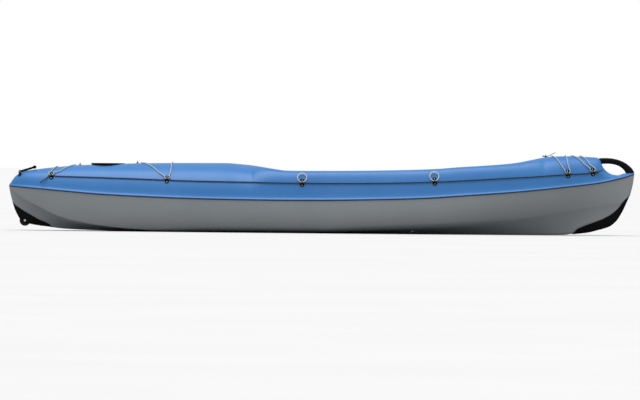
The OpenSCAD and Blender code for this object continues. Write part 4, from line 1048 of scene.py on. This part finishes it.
def rope(name, points, diameter, body, finish, closed=False, lumps=(), sides=12, step=3.5):
    """Sweeps a rope; lumps are (place in mm along it, swelling, half length) for its knots."""
    line, far = fair(points, closed, step)
    if closed:
        line = line[:-1]
    n = len(line)
    ahead = np.roll(line, -1, 0) if closed else np.concatenate([line[1:], line[-1:]])
    back = np.roll(line, 1, 0) if closed else np.concatenate([line[:1], line[:-1]])
    run = ahead - back
    run /= np.linalg.norm(run, axis=1)[:, None]
    side = np.cross(run[0], [0, 0.3, 1])
    sides_at = []
    for i in range(n):
        side = side - run[i] * side.dot(run[i])
        side /= np.linalg.norm(side)
        sides_at.append(side)
    a = np.array(sides_at)
    if closed:
        last = a[-1] - run[0] * a[-1].dot(run[0])
        twist = math.atan2(np.cross(last, a[0]).dot(run[0]), last.dot(a[0]))
        turn = (np.arange(n) / n * twist)[:, None]
        a = a * np.cos(turn) + np.cross(run, a) * np.sin(turn)
    b = np.cross(run, a)
    radius = np.full(n, diameter / 2)
    for place, swell, half in lumps:
        place = place if place >= 0 else far[-1] + place
        radius *= 1 + (swell - 1) * np.exp(-((far[:n] - place) / half) ** 4)
    if not closed:
        radius[0] = radius[-1] = diameter * 0.3
    angle = np.linspace(0, 2 * np.pi, sides, endpoint=False)
    rings = (line[:, None] + a[:, None] * (radius[:, None] * np.cos(angle))[..., None]
             + b[:, None] * (radius[:, None] * np.sin(angle))[..., None])
    spans = n if closed else n - 1
    faces, uv = [], []
    for i in range(spans):
        j = (i + 1) % n
        for k in range(sides):
            m = (k + 1) % sides
            faces.append((i * sides + k, j * sides + k, j * sides + m, i * sides + m))
            u0, u1, v0, v1 = far[i] * MM, far[i + 1] * MM, k / sides, (k + 1) / sides
            uv += [u0, v0, u1, v0, u1, v1, u0, v1]
    if not closed:
        faces += [tuple(range(sides)), tuple(range((n - 1) * sides, n * sides))[::-1]]
        uv += [0.0, 0.0] * (2 * sides)
    mesh = bpy.data.meshes.new(name)
    mesh.from_pydata((rings.reshape(-1, 3) * MM).tolist(), [], faces)
    mesh.uv_layers.new(name="rope").data.foreach_set("uv", uv)
    mesh.update()
    piece = put(name, facing_out(mesh), body, finish)
    print(name, round(far[-1] * MM, 3), "m")
    return piece


def flipped(points):
    """The same points on the other side of the boat."""
    return [np.array([p[0], -p[1], p[2]]) for p in points]


# %% The deck line on both sides
def at_eye(i, p):
    return from_frame(EYE_FRAMES[i], p)


def line_route():
    """Tail, pad eye to pad eye along the side, end knot and its short end."""
    route = [at_eye(0, p) for p in ((-72, 58, 6), (-50, 40, 7), (-26, 18, 7))]
    for i in range(len(EYES) - 1):
        route += [at_eye(i, (d, ROPE_SHIFT, ROPE_LIFT)) for d in (-17, 17)]
        x0, x1 = EYES[i][0] + 36, EYES[i + 1][0] - 36
        count = max(1, int((x1 - x0) / 75 + 0.5))
        for k in range(count + 1):
            x = x0 + (x1 - x0) * k / count
            z = float(curve(LINE_HEIGHT, x / HALF_LENGTH))
            route.append(from_frame(side_frame(x, share_at(x, z)), (0, 0, ROPE / 2 + 2.4)))
    last = len(EYES) - 1
    route += [at_eye(last, (d, ROPE_SHIFT, ROPE_LIFT + 1)) for d in (-17, 17, 27, 34)]
    return route + [at_eye(last, (44, ROPE_SHIFT - 4, ROPE_LIFT + 5)),
                    at_eye(last, (64, -4, ROPE_LIFT + 14))]


KNOTS = [(-40, 1.9, 7), (-52, 1.5, 5), (6, 1.25, 4)]
for side, flip in (("port", list), ("starboard", flipped)):
    line = rope(f"deck_line_rope_{side}", flip(line_route()), ROPE, "boat", FINISH["line_black"],
                lumps=KNOTS)
    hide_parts(f"deck_line_{side}")

# %% The shock cords
BUNGEE_SHARES = [0.46, 0.52, 0.58, 0.68, 0.78, 0.89, 0.99]
BUNGEE_LIFT = BUNGEE / 2 + 1.6


def up_the_side(i, x1, x2):
    """From a pad eye up to the ridge, leaning from x1 to x2."""
    start = share_at(*EYES[i])
    run = []
    for f in BUNGEE_SHARES:
        if f > start + 0.12:
            t = (f - start) / (1 - start)
            run.append(from_frame(side_frame(x1 + (x2 - x1) * t, f), (0, 0, BUNGEE_LIFT)))
    return run


def bungee_route(i, aft, fore):
    """One closed run: down through the pad eye on each side and over the ridge twice."""
    px = EYES[i][0]
    a, b = up_the_side(i, px - 20, aft), up_the_side(i, px + (8 if fore < px else 20), fore)
    eye = [at_eye(i, p) for p in ((15, -24, 9.5), (17, -12, 8.5), (9, -ROPE_SHIFT, ROPE_LIFT),
                                  (-9, -ROPE_SHIFT, ROPE_LIFT), (-17, -12, 8.5), (-20, -24, 9.5))]
    half = b[::-1] + eye + a
    tops = [on_side(x, 1) * [1, 0, 1] + [0, 0, BUNGEE_LIFT] for x in (fore, aft)]
    return [tops[0]] + half + [tops[1]] + flipped(half[::-1])


BUNGEES = [("stern_cord", 0, -1790, -1668, "stern_bungee"),
           ("rear_cord", 1, -1225, -1011, "rear_bungee"),
           ("bow_cord_aft", 4, 1556, 1650, "bow_bungee"), ("bow_cord_fore", 5, 1690, 1750, None)]
for name, eye, aft, fore, node in BUNGEES:
    rope(name, bungee_route(eye, aft, fore), BUNGEE, "boat", FINISH["cord_pale"],
                       closed=True)
    if node:
        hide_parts(node)
HOOK_X = 1518
tail_z = float(curve(RIDGE, HOOK_X / HALF_LENGTH)) + EYE_BASE + BUNGEE / 2 + 1.2
tail_route = [np.array([HOOK_X + x, y, tail_z + z]) for x, y, z in (
    (-25, 0, 0), (-18, 0, 0), (-11, 0, 0), (10, 0, 0), (24, -2, 4), (44, -5, 14), (66, -9, 25))]
tail = rope("loose_cord_end", tail_route, BUNGEE * 0.9, "boat", FINISH["cord_pale"],
            lumps=[(8, 1.8, 5)])
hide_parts("cord_tail")

# %% Rope loops beside the cockpit
LOOP_MID, LOOP_ROPE = 30.5, ROPE - 0.8
for eye, word in ((2, "seat"), (3, "knee")):
    for side, sign in (("port", 1), ("starboard", -1)):
        node = f"loop_{word}_{side}"
        centre = np.array(middle(node)) / MM
        flip = np.array([1, sign, 1])
        forward, down = EYE_FRAMES[eye][1] * flip, EYE_FRAMES[eye][2] * flip
        ring = [centre + LOOP_MID * (forward * math.sin(a) + down * math.cos(a))
                for a in np.linspace(0, 2 * np.pi, 24, endpoint=False)]
        loop = rope(f"rope_loop_{word}_{side}", ring, LOOP_ROPE, f"{word}_loop_{side}",
                    FINISH["loop_white"], closed=True, lumps=[(95, 1.3, 9)], step=2.5)
        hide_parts(node)

# %% [markdown]
# ## Seat pad and back rest cushion
# Both are foam pads in a sewn woven cover: crowned in the middle, pulled in at the seams, with
# sewn channels and a round piping along the edge. The slab of the engineering part is copied,
# remeshed into even quads and blown up a little as cloth under pressure, which gives the natural
# puckered crown; the side that rests on something is held flat. Remeshing would erase the
# channels, so they are pressed in afterwards. A subdivided box would look like a pillow drawn
# with a ruler.

# %% Blow up a pad as cloth
PAD_VOXEL, PAD_PRESSURE, PAD_FRAMES = 0.006, 4.0, 20
HELD_BAND = 0.002


def stuffed(name, node, rest, grow, shrink=0.003):
    """A cushion from a node's slab: rest is the direction of the side it lies on."""
    mesh = frame["nodes"][node].data.copy()
    mesh.materials.clear()
    pad = put(name, mesh, frame_body(node), FINISH["cushion"])
    form = bmesh.new()
    form.from_mesh(mesh)
    bmesh.ops.remove_doubles(form, verts=form.verts, dist=1e-5)
    form.to_mesh(mesh)
    form.free()
    voxels = pad.modifiers.new("voxels", "REMESH")
    voxels.mode, voxels.voxel_size = "VOXEL", PAD_VOXEL
    apply_all(pad)
    mesh = pad.data
    start = np.array([v.co for v in mesh.vertices])
    normal = np.array([v.normal for v in mesh.vertices])
    rest = np.array(rest, float) / np.linalg.norm(rest)
    low = start @ rest
    held = low > low.max() - HELD_BAND
    start -= normal * shrink * (1 - held[:, None])
    mesh.vertices.foreach_set("co", start.ravel())
    cloth = pad.modifiers.new("cloth", "CLOTH")
    cloth.settings.use_pressure = True
    cloth.settings.uniform_pressure_force = PAD_PRESSURE
    cloth.settings.effector_weights.gravity = 0
    cloth.settings.quality = 5
    cloth.settings.tension_stiffness = 12
    cloth.point_cache.frame_start, cloth.point_cache.frame_end = 1, PAD_FRAMES
    for step in range(1, PAD_FRAMES + 1):
        bpy.context.scene.frame_set(step)
    seen = pad.evaluated_get(bpy.context.evaluated_depsgraph_get())
    blown = np.array([v.co for v in seen.data.vertices])
    pad.modifiers.clear()
    bpy.context.scene.frame_set(1)
    move = blown - start
    size = np.linalg.norm(move, axis=1)
    move *= (np.minimum(size, grow) / np.maximum(size, 1e-9))[:, None]
    start = start + move
    height = start @ rest
    start -= rest * np.maximum(0, height - low.max())[:, None]
    start[held] -= rest * (start[held] @ rest - low.max())[:, None]
    mesh.vertices.foreach_set("co", start.ravel())
    mesh.update()
    return pad


def frame_body(node):
    """The body that a node of the frame belongs to."""
    for body, members in frame["record"]["behaviour"]["bodies"].items():
        if node in members:
            return body
    raise KeyError(node)


def press_seams(pad, rest, seams, depth, wide):
    """Presses sewn channels into the side away from rest; seams give a distance for points."""
    mesh = pad.data
    points = np.array([v.co for v in mesh.vertices])
    normal = np.array([v.normal for v in mesh.vertices])
    rest = np.array(rest, float) / np.linalg.norm(rest)
    facing = np.clip(-(normal @ rest), 0, 1)
    near = np.min([seam(points) for seam in seams], axis=0)
    points += rest * (depth * np.exp(-(near / wide) ** 2) * facing)[:, None]
    mesh.vertices.foreach_set("co", points.ravel())
    smooth = pad.modifiers.new("rounding", "SUBSURF")
    smooth.levels = smooth.render_levels = 1
    apply_all(pad)
    pad.data.polygons.foreach_set("use_smooth", [True] * len(pad.data.polygons))
    print(pad.name, len(pad.data.polygons), "faces, box", [round(c, 3) for c in pad.dimensions])


# %% Seat pad
SEAM_DEPTH, SEAM_WIDE = 0.006, 0.005
low, high = (np.array(c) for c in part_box("seat_pad"))
SEAT_GROW, BACK_GROW = 0.009, 0.010
SEAT_BORDER, SEAT_CORNER, BACK_BORDER, BACK_CORNER = 0.026, 0.028, 0.024, 0.022
seat = stuffed("seat_cushion", "seat_pad", (0, 0, -1), SEAT_GROW)


def rounded_edge(points, low, high, inset, corner, axes):
    """Distance from a rounded rectangle's line, inset from a box, in the plane of two axes."""
    i, j = axes
    mid = (low + high) / 2
    half = (high - low) / 2 - inset
    q = np.abs(points[:, [i, j]] - mid[[i, j]]) - (half[[i, j]] - corner)
    outside = np.hypot(np.maximum(q[:, 0], 0), np.maximum(q[:, 1], 0))
    return np.abs(outside + np.minimum(q.max(1), 0) - corner)


seat_lines = [low[0] + (high[0] - low[0]) * share for share in (0.3, 0.5, 0.7)]
inside_y = (high[1] - low[1]) / 2 - SEAT_BORDER
press_seams(seat, (0, 0, -1),
            [lambda p: rounded_edge(p, low, high, SEAT_BORDER, SEAT_CORNER, (0, 1))]
            + [lambda p, x=x: np.hypot(p[:, 0] - x, np.maximum(0, np.abs(p[:, 1]) - inside_y))
               for x in seat_lines], SEAM_DEPTH, SEAM_WIDE)
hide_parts("seat_pad")

# %% Back rest cushion
BACK_AXIS = np.array([-0.236, 0.0, 0.2])
LEAN = math.radians(10)
back_up = np.array([-math.sin(LEAN), 0, math.cos(LEAN)])
back_out = np.array([math.cos(LEAN), 0, math.sin(LEAN)])
back = stuffed("back_cushion", "backrest_cushion", tuple(-back_out), BACK_GROW)


def in_back(points):
    """Points in the back rest's own frame: outward, across and up, in metres."""
    away = points - BACK_AXIS
    return np.stack([away @ back_out, away[:, 1], away @ back_up], 1)


flat = in_back(np.array([v.co for v in frame["nodes"]["backrest_cushion"].data.vertices]))
back_low, back_high = flat.min(0), flat.max(0)
ribs = [back_low[1] + (back_high[1] - back_low[1]) * share for share in (0.32, 0.5, 0.68)]
rib_top = (back_high[2] - back_low[2]) / 2 - BACK_BORDER
back_mid = (back_high[2] + back_low[2]) / 2
press_seams(back, -back_out,
            [lambda p: rounded_edge(in_back(p), back_low, back_high, BACK_BORDER, BACK_CORNER,
                                    (1, 2))]
            + [lambda p, y=y: np.hypot(in_back(p)[:, 1] - y,
                                       np.maximum(0, np.abs(in_back(p)[:, 2] - back_mid) - rib_top))
               for y in ribs], SEAM_DEPTH, SEAM_WIDE)
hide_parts("backrest_cushion")

# %% Piping round both pads
def rounded_loop(half_i, half_j, corner, steps=8):
    """Points round a rounded rectangle about the origin."""
    loop = []
    for quarter, (si, sj) in enumerate(((1, 1), (-1, 1), (-1, -1), (1, -1))):
        for a in np.linspace(0, math.pi / 2, steps):
            a += quarter * math.pi / 2
            loop.append((si * (half_i - corner) + corner * math.cos(a),
                         sj * (half_j - corner) + corner * math.sin(a)))
    return loop


PIPING, PIPING_IN = 4.5, 3.0
size = (high - low) / 2
seat_piping = [((low + high)[0] / 2 / MM + i, j, high[2] / MM - PIPING_IN)
               for i, j in rounded_loop(size[0] / MM - PIPING_IN, size[1] / MM - PIPING_IN, 46)]
seat_cord = rope("seat_piping", seat_piping, PIPING, "boat", FINISH["cushion"],
                 closed=True, step=5)
size = (back_high - back_low) / 2
back_piping = [(BACK_AXIS + back_out * (back_high[0] - 0.004)) / MM
               + np.array([0, i, 0]) + back_up * (back_mid / MM + j)
               for i, j in rounded_loop(size[1] / MM - PIPING_IN, size[2] / MM - PIPING_IN, 30)]
back_cord = rope("back_piping", back_piping, PIPING, "backrest", FINISH["cushion"],
                 closed=True, step=5)

# %% [markdown]
# ## Floor and light
# The boat stands on a plain pale floor in soft light. One wide lamp from above and in front draws
# the lighter band along the upper deck, and the bright room fills the shadows. The room looks
# white to the camera but lights the boat more gently, and the floor throws back less light than
# it shows, so that the hull can fall into shade towards its keel, as on a dark mat.

# %% Floor
FLOOR_REACH = 90
floor_corners = [(x * FLOOR_REACH, y * FLOOR_REACH, 0)
                 for x, y in ((-1, -1), (1, -1), (1, 1), (-1, 1))]
floor_mesh = bpy.data.meshes.new("floor")
floor_mesh.from_pydata(floor_corners, [], [(0, 1, 2, 3)])
floor = add_object("floor", floor_mesh)
FLOOR_BOUNCE = 0.37
floor_paint, floor_tree, floor_shader, _ = surface("Pale studio floor", 0.9, 0.02)
floor_tone = place_group(floor_tree, TONE, Dark=(0.80, 0.80, 0.80, 1), Light=(0.83, 0.83, 0.83, 1),
                         Drift_scale=0.6, Speckle_scale=200.0, Speckle_amount=0.1)
seen_directly = floor_tree.nodes.new("ShaderNodeLightPath").outputs["Is Camera Ray"]
floor_tree.links.new(mixed(floor_tree, seen_directly, (FLOOR_BOUNCE,) * 3 + (1,),
                           floor_tone.outputs["Color"]), floor_shader.inputs["Base Color"])
floor_mesh.materials.append(floor_paint)

# %% Room and lamp
ROOM_LIGHT, ROOM_SEEN, LAMP = 0.55, 1.0, 2.1
LAMP_ANGLE, LAMP_AIM = math.radians(50), Vector((0.12, 0.32, -1))
world = bpy.data.worlds.new("studio")
bpy.context.scene.world = world
world.use_nodes = True
sky = world.node_tree
background = sky.nodes["Background"]
background.inputs["Color"].default_value = (1, 1, 1, 1)
rays = sky.nodes.new("ShaderNodeLightPath")
sky.links.new(ramp(sky, rays.outputs["Is Camera Ray"], 0, 1, ROOM_LIGHT, ROOM_SEEN),
              background.inputs["Strength"])
lamp_data = bpy.data.lights.new("soft lamp", "SUN")
lamp_data.energy = LAMP
lamp_data.angle = LAMP_ANGLE
lamp = add_object("soft lamp", lamp_data)
lamp.rotation_mode = "QUATERNION"
lamp.rotation_quaternion = LAMP_AIM.to_track_quat("-Z", "Y")
bpy.context.scene.view_settings.view_transform = "Standard"
print("lamp", LAMP, "room", ROOM_LIGHT)
